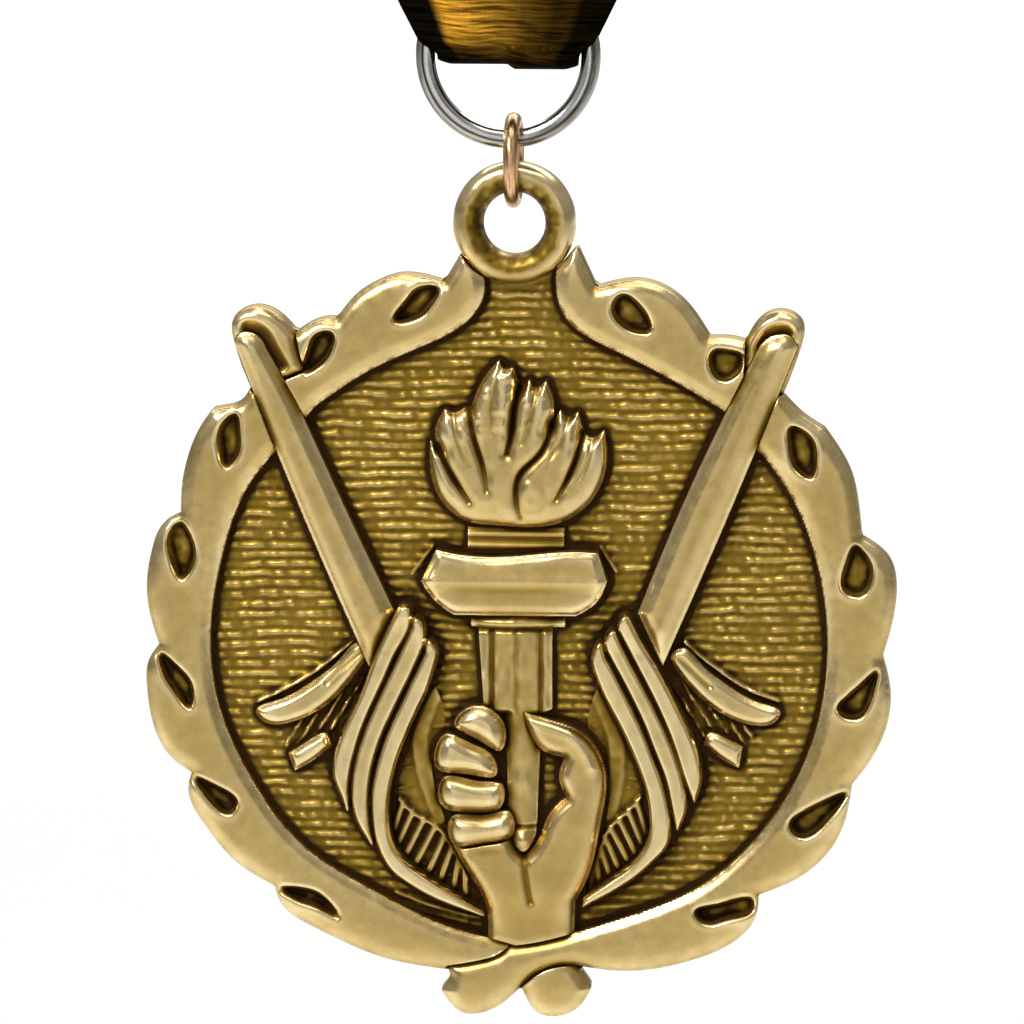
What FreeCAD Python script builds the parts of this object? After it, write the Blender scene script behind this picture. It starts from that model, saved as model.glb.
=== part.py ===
import FreeCAD, Part
import os

os.makedirs("parts", exist_ok=True)
V = FreeCAD.Vector

# Driving dimensions, millimetres. The medal hangs in the XZ plane with its
# relief toward -Y; outlines are (x, z) from the centre of the wreath.
PLATE = 2.0            # cast plate behind the relief, flat at the back
WREATH_RISE = 1.6      # heights of the relief in front of the plate
LEAF_HOLLOW = 0.9      # depth of the slots beside the leaves
KNOB_RISE = 1.5
SHAFT_RISE = 2.0
SHAFT_BEVEL = 0.9
BAND_RISE = 2.1
BAND_GROOVE = 0.7
TOE_RISE = 1.3
LADDER_RISE = 0.5
FLAME_RISE = 1.9
NECK_RISE = 1.0
COLLAR_RISE = 2.4
HANDLE_RISE = 1.2
PALM_RISE = 1.9
FINGER_RISE = 2.3

LOOP_AT = (-0.45, 33.2)    # hanger loop
LOOP_OUTER = 5.2           # radius
LOOP_HOLE = 2.6            # radius
LOOP_DEPTH = 4.0
LOOP_HOLE_ROUND = 1.75      # rounding of the hole's rims, so the wire ring can swing
LOOP_EDGE_ROUND = 0.75

JUMP_WIRE = 1.3            # wire diameters and outer diameters of the rings
JUMP_OUTER = 8.05
RING_WIRE = 1.65
RING_OUTER = 15.6
RING_PLAY = 0.08           # gap left where one ring hangs in the next
HANG_X = -0.55             # the line the chain of rings hangs on
RING_X = -1.0              # the ribbon ring sits a little to one side

RIBBON_WIDTH = 22.0
RIBBON_THICK = 0.45
FOLD_HALF = 5.95           # half width where the ribbon is gathered in the ring
FOLD_RADIUS = 1.45
LEG_SPREAD = 2.7           # legs stand this far off the ring's top
HANK_RUNS = 8
HANK_PITCH = 1.25
HANK_LENGTH = 45.5         # gives a strip 811 mm long in all
EYE_HALF = 1.83            # half width of the open bend at the top, where a peg goes through
EYE_HEIGHT = 5.6
PAIR_HALF = 0.29           # half the spacing of the two legs in the hank
BAND_HEIGHT = 7.0
BAND_THICK = 0.6


def outline(*runs):
    """Closed face in the XZ plane from runs of points; each run is smooth, ends are corners."""
    edges = []
    for i, run in enumerate(runs):
        stop = runs[(i + 1) % len(runs)][0]
        points = [V(x, 0, z) for x, z in run]
        if stop != run[-1]:
            points.append(V(stop[0], 0, stop[1]))
        if len(points) == 2:
            edges.append(Part.makeLine(points[0], points[1]))
        else:
            curve = Part.BSplineCurve()
            curve.interpolate(points)
            edges.append(curve.toShape())
    return Part.Face(Part.Wire(edges))


def blob(points):
    """Closed smooth face through the points."""
    curve = Part.BSplineCurve()
    curve.interpolate(Points=[V(x, 0, z) for x, z in points], PeriodicFlag=True)
    return Part.Face(Part.Wire([curve.toShape()]))


def polygon(points):
    corners = [V(x, 0, z) for x, z in points]
    return Part.Face(Part.makePolygon(corners + corners[:1]))


def raised(face, rise, start=0.0):
    """Prism standing toward the viewer from a height above the plate."""
    body = face.extrude(V(0, -rise, 0))
    body.translate(V(0, -start, 0))
    return body


def through(face):
    """Prism that passes through the whole medal."""
    body = face.extrude(V(0, -12, 0))
    body.translate(V(0, 6, 0))
    return body


def fused(bodies):
    whole = bodies[0]
    for other in bodies[1:]:
        whole = whole.fuse(other)
    return whole.removeSplitter()


def front_edges(body, rise):
    """Edges lying in the front plane of a prism."""
    found = []
    for edge in body.Edges:
        box = edge.BoundBox
        if abs(box.YMin + rise) < 1e-4 and abs(box.YMax + rise) < 1e-4:
            found.append(edge)
    return found


def domed(points, rise, edge, inset):
    """Smooth blob whose front narrows over its last part."""
    middle_x = sum(x for x, z in points) / len(points)
    middle_z = sum(z for x, z in points) / len(points)
    small = [(x + (middle_x - x) * inset, z + (middle_z - z) * inset) for x, z in points]
    low = raised(blob(points), rise - edge)
    foot = blob(points).OuterWire
    foot.translate(V(0, edge - rise, 0))
    tip = blob(small).OuterWire
    tip.translate(V(0, -rise, 0))
    return low.fuse(Part.makeLoft([foot, tip], True))


def ring(at, outer, wire, normal):
    body = Part.makeTorus((outer - wire) / 2, wire / 2, V(*at), normal)
    return body


# Wreath: two leafy branches, the right one crossing over the left at the foot
left_branch = outline(
    [(-4.7, 31.0), (-6.4, 28.1)],
    [(-6.4, 28.1), (-8.3, 28.6), (-10.3, 28.7), (-12.0, 28.1), (-13.8, 27.0), (-15.5, 24.95)],
    [(-15.5, 24.95), (-16.7, 24.9), (-17.8, 24.5), (-19.0, 23.7)],
    [(-19.0, 23.7), (-22.9, 18.9)],
    [(-22.9, 18.9), (-23.9, 17.65), (-25.0, 17.3), (-26.1, 17.1)],
    [(-26.1, 17.1), (-27.1, 15.7), (-28.1, 13.4), (-28.65, 11.0), (-28.8, 8.1)],
    [(-28.8, 8.1), (-30.5, 7.1), (-31.2, 5.5), (-31.75, 1.8), (-31.3, -1.2), (-30.7, -3.05)],
    [(-30.7, -3.05), (-31.6, -4.3), (-31.8, -6.6), (-31.2, -10.2), (-29.7, -12.8), (-28.0, -14.0)],
    [(-28.0, -14.0), (-28.3, -15.4), (-26.8, -18.7), (-24.4, -21.6), (-20.9, -23.8)],
    [(-20.9, -23.8), (-20.6, -24.9), (-17.4, -27.4), (-11.5, -29.9), (-6.2, -30.8)],
    [(-6.2, -30.8), (0.3, -32.4)],
    [(0.3, -32.4), (1.7, -34.5), (3.0, -34.75), (5.3, -33.7), (6.1, -32.3)],
    [(6.1, -32.3), (4.7, -30.3)],
    [(4.7, -30.3), (-1.0, -28.4)],
    [(-1.0, -28.4), (-7.0, -26.7), (-12.5, -24.0), (-18.5, -20.2), (-22.8, -14.6),
     (-25.6, -8.3), (-26.3, -1.5), (-25.3, 4.6), (-22.6, 11.3), (-20.5, 13.8)],
    [(-20.5, 13.8), (-17.3, 17.5)],
    [(-17.3, 17.5), (-12.5, 20.7), (-7.5, 23.0), (-3.8, 25.5), (-2.9, 27.6), (-3.2, 29.2)],
)
right_branch = outline(
    [(3.1, 29.2), (3.1, 27.6), (3.8, 25.4), (8.0, 22.5), (14.0, 19.4), (17.2, 17.5)],
    [(17.2, 17.5), (20.8, 13.4)],
    [(20.8, 13.4), (22.4, 11.2), (25.2, 4.5), (26.1, -2.0), (25.0, -10.3), (21.4, -17.5),
     (15.2, -23.4), (8.0, -26.4), (1.0, -28.4), (-0.8, -28.7)],
    [(-0.8, -28.7), (-1.6, -29.3), (-3.3, -29.9), (-6.2, -30.5)],
    [(-6.2, -30.5), (-5.9, -31.3), (-6.65, -32.6)],
    [(-6.65, -32.6), (-4.9, -34.5), (-2.1, -34.1), (0.1, -32.3), (2.5, -30.6), (4.7, -30.25)],
    [(4.7, -30.25), (9.0, -30.7), (15.0, -29.6), (18.2, -28.1), (20.2, -25.6), (20.2, -24.0)],
    [(20.2, -24.0), (24.4, -22.0), (27.3, -18.5), (28.2, -14.4)],
    [(28.2, -14.4), (30.3, -11.4), (31.4, -6.8), (30.7, -3.5)],
    [(30.7, -3.5), (31.75, 0.8), (31.2, 4.9), (28.9, 6.7)],
    [(28.9, 6.7), (28.6, 9.4), (28.1, 11.8), (25.7, 15.9)],
    [(25.7, 15.9), (24.0, 17.0), (22.2, 18.8)],
    [(22.2, 18.8), (19.1, 23.3)],
    [(19.1, 23.3), (17.7, 23.6), (16.0, 23.6)],
    [(16.0, 23.6), (13.3, 27.1), (10.2, 28.4), (6.4, 27.75)],
    [(6.4, 27.75), (4.8, 31.2)],
    [(4.8, 31.2), (3.1, 29.2)],
)
field = outline(
    [(-4.4, 28.6), (-9.0, 25.0), (-17.0, 21.0), (-24.5, 12.5), (-28.3, 0.0), (-27.0, -12.0),
     (-20.5, -21.0), (-11.0, -27.5), (0.0, -30.0), (11.0, -27.7), (20.5, -21.5),
     (27.0, -12.5), (28.3, 0.0), (24.5, 12.5), (17.0, 21.0), (9.0, 25.0), (4.4, 28.6)],
)

# Slots beside the leaves, each from a notch inward along the branch
left_hollows = [
    [(-6.8, 27.7), (-8.3, 27.8), (-9.6, 26.6), (-10.6, 24.9), (-9.0, 25.0), (-7.3, 26.4)],
    [(-15.8, 23.8), (-17.0, 23.8), (-17.9, 22.3), (-18.3, 20.4), (-17.0, 21.0), (-15.9, 22.4)],
    [(-24.1, 16.9), (-25.3, 15.8), (-25.5, 13.8), (-24.9, 12.3), (-24.1, 13.0), (-23.7, 15.2)],
    [(-28.9, 7.6), (-29.8, 6.6), (-29.7, 4.6), (-28.7, 2.7), (-27.9, 3.6), (-28.0, 6.5)],
    [(-30.7, -3.7), (-30.4, -5.4), (-29.3, -7.2), (-28.1, -8.4), (-27.8, -7.2), (-29.2, -4.8)],
    [(-27.8, -14.4), (-26.7, -16.2), (-24.6, -17.4), (-24.1, -16.7), (-25.7, -15.2)],
    [(-20.5, -24.0), (-19.0, -25.0), (-17.0, -25.7), (-15.4, -26.4), (-16.4, -24.9), (-18.4, -23.9)],
]
right_hollows = [
    [(7.9, 26.4), (8.6, 27.3), (9.8, 26.8), (11.0, 24.2), (9.6, 24.2)],
    [(16.3, 22.6), (17.6, 22.7), (18.9, 22.2), (18.2, 20.5), (16.8, 20.2)],
    [(22.9, 16.2), (22.8, 14.6), (23.5, 12.5), (24.6, 11.9), (25.1, 13.8), (24.3, 15.7)],
    [(28.6, 6.2), (27.6, 4.4), (27.5, 2.3), (28.7, 1.9), (29.8, 4.6), (29.2, 5.6)],
    [(30.4, -4.4), (28.8, -5.8), (27.1, -8.1), (28.5, -8.6), (29.9, -6.8)],
    [(27.9, -15.0), (25.3, -16.0), (23.1, -18.2), (23.6, -18.7), (26.3, -17.3)],
    [(20.0, -24.5), (17.0, -24.7), (15.0, -25.6), (15.6, -26.3), (18.0, -26.0), (20.0, -25.2)],
]

# Crossed sticks: round-topped knob, bevelled shaft, three bands, two toe pieces a side
left_knob = outline(
    [(-22.6, 18.6), (-24.2, 23.0), (-24.2, 25.0), (-22.4, 25.9), (-20.6, 25.3), (-19.0, 23.7)],
    [(-19.0, 23.7), (-18.2, 20.5)],
    [(-18.2, 20.5), (-22.6, 18.6)],
)
right_knob = outline(
    [(22.2, 18.8), (23.7, 22.9), (23.8, 24.9), (22.2, 25.9), (20.4, 25.3), (19.1, 23.3)],
    [(19.1, 23.3), (19.0, 20.3)],
    [(19.0, 20.3), (22.2, 18.8)],
)
left_shaft = polygon(
    [(-24.0, 23.2), (-21.6, 22.9), (-18.9, 18.0), (-14.9, 9.2), (-10.6, 0.1), (-12.7, -4.8), (-18.6, 8.8)])
right_shaft = polygon(
    [(20.1, 22.9), (23.4, 23.4), (17.8, 8.8), (12.2, -4.3), (10.1, 0.2), (14.0, 9.8)])
left_bands = outline(
    [(-10.5, 0.2), (-9.1, 0.8)],
    [(-9.1, 0.8), (-8.1, -1.2), (-7.1, -3.8)],
    [(-7.1, -3.8), (-8.7, -8.4), (-10.5, -12.9), (-11.2, -16.8), (-9.9, -21.2), (-3.1, -25.6)],
    [(-3.1, -25.6), (-3.1, -26.0)],
    [(-3.1, -26.0), (-9.5, -23.2), (-12.5, -20.0)],
    [(-12.5, -20.0), (-14.5, -17.0)],
    [(-14.5, -17.0), (-15.8, -13.2), (-15.0, -10.3), (-12.3, -4.0), (-10.5, 0.2)],
)
left_grooves = [
    [(-9.15, -1.0), (-11.35, -5.8), (-13.4, -10.6), (-14.3, -14.4), (-14.1, -17.3)],
    [(-8.05, -2.8), (-10.3, -8.0), (-12.2, -12.7), (-12.65, -16.5), (-12.5, -19.6)],
]
right_bands = outline(
    [(6.4, -4.2), (7.2, -2.0), (9.1, 0.0)],
    [(9.1, 0.0), (11.7, -4.4), (14.0, -8.8), (15.4, -12.6), (15.0, -15.9)],
    [(15.0, -15.9), (13.5, -18.4)],
    [(13.5, -18.4), (11.6, -20.9), (5.5, -25.1)],
    [(5.5, -25.1), (5.6, -24.3)],
    [(5.6, -24.3), (9.7, -21.3), (11.2, -17.6), (9.3, -10.8), (6.4, -4.2)],
)
right_grooves = [
    [(8.55, -1.7), (10.75, -5.9), (12.9, -10.6), (14.1, -14.4), (14.5, -16.3)],
    [(7.4, -3.3), (9.55, -7.3), (11.6, -12.0), (12.85, -16.2), (13.1, -18.2)],
]
left_toes = [
    blob([(-14.0, -2.8), (-13.2, -4.0), (-16.6, -7.8), (-20.9, -9.9), (-22.5, -8.5),
          (-19.0, -6.9), (-15.6, -4.7)]),
    polygon([(-19.7, -12.3), (-19.2, -13.8), (-16.0, -11.4), (-16.3, -10.7), (-17.5, -10.9)]),
]
right_toes = [
    blob([(13.9, -3.1), (16.5, -6.0), (19.2, -7.2), (22.1, -8.1), (20.0, -9.4),
          (15.8, -7.2), (12.9, -4.5)]),
    polygon([(15.7, -10.9), (15.9, -10.2), (18.9, -11.1), (18.7, -13.1)]),
]
left_ladder = outline(
    [(-7.2, -6.4), (-9.7, -11.2), (-10.8, -15.4), (-10.5, -19.6), (-8.0, -22.4), (-3.4, -25.2)],
    [(-3.4, -25.2), (-5.2, -21.2)],
    [(-5.2, -21.2), (-6.6, -17.2), (-7.3, -12.0), (-6.4, -9.4)],
)
right_ladder = outline(
    [(6.6, -6.4), (9.2, -11.2), (10.8, -15.8), (10.8, -19.4), (8.6, -21.8), (5.0, -24.6)],
    [(5.0, -24.6), (6.6, -20.6)],
    [(6.6, -20.6), (7.4, -14.6), (5.8, -9.6)],
)

# Torch and the hand that holds it
flame = outline(
    [(-1.5, 7.5), (-5.2, 8.2), (-7.3, 11.0), (-7.4, 14.7)],
    [(-7.4, 14.7), (-6.5, 14.4)],
    [(-6.5, 14.4), (-6.9, 17.0)],
    [(-6.9, 17.0), (-4.6, 17.4)],
    [(-4.6, 17.4), (-3.8, 16.6)],
    [(-3.8, 16.6), (-3.0, 19.2), (-1.4, 21.6)],
    [(-1.4, 21.6), (-0.4, 21.0)],
    [(-0.4, 21.0), (0.0, 19.2)],
    [(0.0, 19.2), (1.0, 19.9)],
    [(1.0, 19.9), (2.4, 19.6)],
    [(2.4, 19.6), (2.6, 15.6)],
    [(2.6, 15.6), (3.4, 17.3)],
    [(3.4, 17.3), (4.8, 17.2)],
    [(4.8, 17.2), (5.6, 15.2)],
    [(5.6, 15.2), (7.1, 15.8)],
    [(7.1, 15.8), (7.4, 13.0), (6.2, 9.8), (3.5, 7.8), (-1.5, 7.5)],
)
flame_grooves = [
    [(-6.6, 14.6), (-5.2, 11.6), (-4.1, 9.7)],
    [(-4.2, 17.0), (-2.9, 13.2), (-2.8, 10.8)],
    [(0.1, 19.4), (-0.8, 15.6), (-0.9, 13.6)],
    [(2.6, 15.4), (0.2, 12.2), (0.0, 8.4)],
    [(5.4, 15.2), (4.4, 12.0), (3.1, 9.8)],
]
neck = polygon([(-4.4, 5.2), (-4.4, 7.1), (3.8, 7.1), (3.8, 5.2)])
collar = outline(
    [(-6.9, 5.9), (-5.6, 5.2)],
    [(-5.6, 5.2), (0.0, 5.0), (5.2, 5.45), (6.7, 5.3)],
    [(6.7, 5.3), (7.5, 2.9)],
    [(7.5, 2.9), (6.7, 1.2), (4.9, -0.1)],
    [(4.9, -0.1), (-5.5, -0.1)],
    [(-5.5, -0.1), (-7.4, 1.4), (-8.3, 2.8)],
    [(-8.3, 2.8), (-6.9, 5.9)],
)
collar_groove = [(-8.0, 2.4), (-3.0, 2.2), (2.0, 2.1), (7.3, 2.5)]
handle = outline(
    [(-4.1, -0.1), (-4.1, -1.2)],
    [(-4.1, -1.2), (-3.5, -1.2)],
    [(-3.5, -1.2), (-3.0, -8.2)],
    [(-3.0, -8.2), (-1.2, -8.6)],
    [(-1.2, -8.6), (-0.9, -18.2)],
    [(-0.9, -18.2), (-0.55, -19.4), (0.35, -20.45), (1.25, -19.4), (1.5, -18.2)],
    [(1.5, -18.2), (1.9, -8.6)],
    [(1.9, -8.6), (2.8, -8.2)],
    [(2.8, -8.2), (2.8, -1.2)],
    [(2.8, -1.2), (3.9, -1.2)],
    [(3.9, -1.2), (3.9, -0.1)],
    [(3.9, -0.1), (-4.1, -0.1)],
)
flutes = [[(-2.35, -1.4), (-2.35, -7.9)], [(-0.25, -1.4), (-0.25, -8.4)], [(1.85, -1.4), (1.85, -8.2)]]
palm = outline(
    [(0.4, -8.4), (2.5, -9.0), (5.2, -10.0), (7.4, -13.6), (7.0, -17.6), (6.0, -22.3), (4.8, -24.8)],
    [(4.8, -24.8), (4.7, -27.0)],
    [(4.7, -27.0), (0.3, -28.2), (-2.7, -27.4), (-2.9, -25.0), (-5.0, -21.2), (-5.9, -19.4)],
    [(-5.9, -19.4), (-0.9, -18.7)],
    [(-0.9, -18.7), (0.4, -20.7), (1.9, -19.0)],
    [(1.9, -19.0), (2.7, -17.0), (4.0, -15.7)],
    [(4.0, -15.7), (3.4, -14.0), (3.9, -12.3)],
    [(3.9, -12.3), (2.2, -11.8), (0.9, -10.3), (0.4, -8.4)],
)
fingers = [
    [(-5.5, -9.4), (-4.4, -8.1), (-2.6, -8.1), (-1.1, -10.2), (-1.5, -11.7), (-3.5, -10.8)],
    [(-6.3, -10.4), (-4.2, -11.1), (-2.2, -12.3), (-1.9, -13.8), (-4.4, -13.8), (-7.1, -13.2)],
    [(-6.5, -14.2), (-3.5, -14.4), (-1.4, -14.8), (-1.4, -16.4), (-4.4, -17.1), (-6.7, -16.4)],
    [(-5.8, -17.6), (-3.0, -17.3), (-0.7, -17.1), (-0.4, -18.8), (-3.0, -19.9), (-5.7, -19.8)],
]
palm_crease = [(0.45, -20.9), (0.7, -23.0), (1.0, -24.7)]


def groove(points, width, depth, rise):
    """Channel of even width along an open curve, cut down from the front plane."""
    line = Part.BSplineCurve()
    line.interpolate([V(x, 0, z) for x, z in points])
    sides = []
    for side in (width / 2, -width / 2):
        row = []
        for i in range(len(points)):
            t = line.FirstParameter + (line.LastParameter - line.FirstParameter) * i / (len(points) - 1)
            at = line.value(t)
            along = line.tangent(t)[0]
            row.append((at.x - along.z * side, at.z + along.x * side))
        sides.append(row)
    channel = outline(sides[0], [sides[0][-1], sides[1][-1]], sides[1][::-1], [sides[1][0], sides[0][0]])
    return raised(channel, depth + 1.0, rise - depth)


# Solids of the casting, lower features cut where a higher one crosses them
loop_room = Part.makeCylinder(LOOP_OUTER, 12, V(LOOP_AT[0], -6, LOOP_AT[1]), V(0, 1, 0))
blank = fused([raised(f, -PLATE) for f in (left_branch, right_branch, field, left_knob, right_knob)])
blank = blank.cut(loop_room)

half_depth = LOOP_DEPTH / 2
loop = Part.makeCylinder(LOOP_OUTER, LOOP_DEPTH, V(LOOP_AT[0], -half_depth, LOOP_AT[1]), V(0, 1, 0))
bore = Part.makeCylinder(LOOP_HOLE, LOOP_DEPTH, V(LOOP_AT[0], -half_depth, LOOP_AT[1]), V(0, 1, 0))
loop = loop.cut(bore)
inner_rims = [e for e in loop.Edges if e.isClosed() and abs(e.BoundBox.XLength - 2 * LOOP_HOLE) < 0.01]
loop = loop.makeFillet(LOOP_HOLE_ROUND, inner_rims)
outer_rims = [e for e in loop.Edges if e.isClosed() and abs(e.BoundBox.XLength - 2 * LOOP_OUTER) < 0.01]
loop = loop.makeFillet(LOOP_EDGE_ROUND, outer_rims)

sticks = {
    "left": (left_shaft, left_bands, left_knob, left_toes, left_ladder),
    "right": (right_shaft, right_bands, right_knob, right_toes, right_ladder),
}
hand_mask = [through(palm)] + [through(blob(f)) for f in fingers]
nodes = {"medal_blank": blank, "hanger_loop": loop}

for side, branch, hollows in (("left", left_branch, left_hollows), ("right", right_branch, right_hollows)):
    shaft, bands, knob, toes, ladder = sticks[side]
    body = raised(branch, WREATH_RISE).cut(loop_room)
    if side == "left":
        body = body.cut(through(right_branch))
    for mask in (through(shaft), through(knob), hand_mask[0]):
        body = body.cut(mask)
    for points in hollows:
        body = body.cut(raised(blob(points), LEAF_HOLLOW + 1, WREATH_RISE - LEAF_HOLLOW))
    parts = sorted(body.Solids, key=lambda solid: -solid.CenterOfMass.z)
    nodes["wreath_" + side + "_upper"] = parts[0]
    nodes["wreath_" + side + "_lower"] = parts[1]
    if side == "left":
        nodes["wreath_left_stem"] = parts[2]

for side, grooves in (("left", left_grooves), ("right", right_grooves)):
    shaft, bands, knob, toes, ladder = sticks[side]
    body = raised(knob, KNOB_RISE).cut(through(shaft))
    nodes["stick_knob_" + side] = body
    body = raised(shaft, SHAFT_RISE)
    body = body.makeChamfer(SHAFT_BEVEL, front_edges(body, SHAFT_RISE))
    nodes["stick_shaft_" + side] = body.cut(through(bands))
    body = raised(bands, BAND_RISE)
    for points in grooves:
        body = body.cut(groove(points, 0.32, BAND_GROOVE, BAND_RISE))
    body = body.cut(hand_mask[0])
    nodes["stick_bands_" + side] = body
    for name, face in zip(("upper", "lower"), toes):
        body = raised(face, TOE_RISE).cut(through(bands)).cut(through(shaft))
        nodes["stick_toe_" + name + "_" + side] = body
    body = raised(ladder, LADDER_RISE).cut(through(bands))
    for mask in hand_mask:
        body = body.cut(mask)
    nodes["stick_ladder_" + side] = body

body = raised(flame, FLAME_RISE)
for points in flame_grooves:
    body = body.cut(groove(points, 0.45, 0.8, FLAME_RISE))
nodes["torch_flame"] = body
nodes["torch_neck"] = raised(neck, NECK_RISE).cut(through(collar))
body = raised(collar, COLLAR_RISE)
nodes["torch_collar"] = body.cut(groove(collar_groove, 0.4, 0.4, COLLAR_RISE))
body = raised(handle, HANDLE_RISE).cut(through(collar))
for points in flutes:
    body = body.cut(groove(points, 0.4, 0.4, HANDLE_RISE))
for mask in hand_mask:
    body = body.cut(mask)
nodes["torch_handle"] = body
body = raised(palm, PALM_RISE).cut(groove(palm_crease, 0.5, 0.5, PALM_RISE))
body = body.cut(through(right_branch))
for mask in hand_mask[1:]:
    body = body.cut(mask)
nodes["hand_palm"] = body
for i, points in enumerate(fingers):
    nodes["hand_finger_%d" % (i + 1)] = domed(points, FINGER_RISE, 0.7, 0.2)

# Rings: each hangs on the one above with a little play
jump_low = LOOP_AT[1] + LOOP_HOLE - RING_PLAY - JUMP_WIRE
jump_at = jump_low + JUMP_OUTER / 2
ring_low = jump_low + JUMP_OUTER - JUMP_WIRE - RING_PLAY - RING_WIRE
ring_at = ring_low + RING_OUTER / 2
nodes["jump_ring"] = ring((HANG_X, 0, jump_at), JUMP_OUTER, JUMP_WIRE, V(1, 0, 0))
nodes["ribbon_ring"] = ring((RING_X, 0, ring_at), RING_OUTER, RING_WIRE, V(0, 1, 0))

# Neck ribbon: one closed strip. Its middle is folded through the ring, and the
# rest is laid up and down in a hank above, two thicknesses together.
fold_at = ring_at - 0.45 + FOLD_RADIUS
leg_top = ring_at + RING_OUTER / 2 + 6.0
hank_top = leg_top + HANK_LENGTH


def bend(start, middle, stop):
    return Part.Arc(V(0, *start), V(0, *middle), V(0, *stop)).toShape()


def leg_path(side):
    """Centre line of one leg in the YZ plane, from the fold to the far end of the hank."""
    knee = ring_at + RING_OUTER / 2 - 1.6
    corners = [(side * FOLD_RADIUS, fold_at), (side * LEG_SPREAD, knee),
               (side * LEG_SPREAD, knee + 1.8), (side * PAIR_HALF, leg_top)]
    path = [Part.makeLine(V(0, *a), V(0, *b)) for a, b in zip(corners, corners[1:])]
    for run in range(HANK_RUNS):
        turn = 1 if run % 2 == 0 else -1
        y = run * HANK_PITCH + side * PAIR_HALF * turn
        start = leg_top if turn == 1 else hank_top
        stop = hank_top if turn == 1 else leg_top
        path.append(Part.makeLine(V(0, y, start), V(0, y, stop)))
        middle = (run + 0.5) * HANK_PITCH
        r = middle - y
        if run == 0:
            out = EYE_HALF - side * PAIR_HALF
            side_z = stop + EYE_HEIGHT - EYE_HALF
            path.append(Part.makeLine(V(0, y, stop), V(0, middle - out, side_z)))
            path.append(bend((middle - out, side_z), (middle, side_z + out), (middle + out, side_z)))
            path.append(Part.makeLine(V(0, middle + out, side_z), V(0, middle + r, stop)))
        elif run < HANK_RUNS - 1:
            path.append(bend((y, stop), (middle, stop + turn * r), (middle + r, stop)))
    return path


front = leg_path(-1)
back = leg_path(1)
last = (HANK_RUNS - 1) * HANK_PITCH
far_end = bend((last - PAIR_HALF, leg_top), (last, leg_top - PAIR_HALF), (last + PAIR_HALF, leg_top))
fold = bend((-FOLD_RADIUS, fold_at), (0, fold_at - FOLD_RADIUS), (FOLD_RADIUS, fold_at))
centre_line = Part.Wire(Part.__sortEdges__(front + back + [fold, far_end]))
outer = Part.Face(centre_line.makeOffset2D(RIBBON_THICK / 2, 0)).extrude(V(RIBBON_WIDTH, 0, 0))
inner = Part.Face(centre_line.makeOffset2D(-RIBBON_THICK / 2, 0)).extrude(V(RIBBON_WIDTH, 0, 0))
ribbon = outer.cut(inner)
ribbon.translate(V(RING_X - RIBBON_WIDTH / 2, 0, 0))

# Front outline: gathered inside the ring, spreading to its full width above
half_widths = [(FOLD_HALF, fold_at - 2), (FOLD_HALF, fold_at - 0.74), (7.45, fold_at + 0.2),
               (9.0, fold_at + 3.6), (RIBBON_WIDTH / 2, fold_at + 8.8), (RIBBON_WIDTH / 2, hank_top + 9)]
rows = [(RING_X + w, z) for w, z in half_widths] + [(RING_X - w, z) for w, z in half_widths[::-1]]
gather = polygon(rows).extrude(V(0, 40, 0))
gather.translate(V(0, -20, 0))
ribbon = ribbon.common(gather)


def slab(y0, y1, z0, z1, half=20.0):
    return Part.makeBox(2 * half, y1 - y0, z1 - z0, V(RING_X - half, y0, z0))


split = fold_at - 0.74
hank_low = leg_top - 1.4
nodes["ribbon_fold"] = ribbon.common(slab(-9, 20, 0, split))
nodes["ribbon_front_leg"] = ribbon.common(slab(-9, 0, split, hank_low))
nodes["ribbon_back_leg"] = ribbon.common(slab(0, 9, split, hank_low))
nodes["ribbon_hank"] = ribbon.cut(slab(-9, 20, 0, hank_low))

# The ribbon's ends lap and are sewn on the hank's outermost run; a narrow band ties the hank
hank_front = -PAIR_HALF - RIBBON_THICK / 2
hank_back = last + PAIR_HALF + RIBBON_THICK / 2
wide = RIBBON_WIDTH / 2
lap_low = leg_top + 3.0
lap_high = lap_low + 15.0
nodes["ribbon_lap"] = slab(hank_back, hank_back + RIBBON_THICK, lap_low, lap_high, wide)
thread = []
for z in (lap_low + 1.5, lap_high - 2.0):
    thread.append(slab(hank_back + RIBBON_THICK, hank_back + RIBBON_THICK + 0.25, z, z + 0.5, wide - 1.5))
for x in (RING_X - wide + 1.5, RING_X + wide - 2.0):
    thread.append(Part.makeBox(0.5, 0.25, lap_high - lap_low - 3.0,
                               V(x, hank_back + RIBBON_THICK, lap_low + 1.5)))
nodes["join_stitching"] = fused(thread)
band_low = leg_top + 24.0
outside = slab(hank_front - BAND_THICK, hank_back + BAND_THICK, band_low, band_low + BAND_HEIGHT,
               wide + BAND_THICK)
inside = slab(hank_front, hank_back, band_low, band_low + BAND_HEIGHT, wide)
nodes["hank_band"] = outside.cut(inside)

# The origin is the inside of the open bend at the top, where a peg carries the whole
peg = V(HANG_X, HANK_PITCH / 2, hank_top + EYE_HEIGHT - PAIR_HALF - RIBBON_THICK / 2)
for name, body in nodes.items():
    body.translate(peg * -1)
    body.exportStep("parts/" + name + ".step")
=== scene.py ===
"""Looks of the cast wreath medal on its neck ribbon. Outlines are (x, z) in millimetres
from the centre of the wreath, heights are millimetres in front of the cast plate."""
import math

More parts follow.
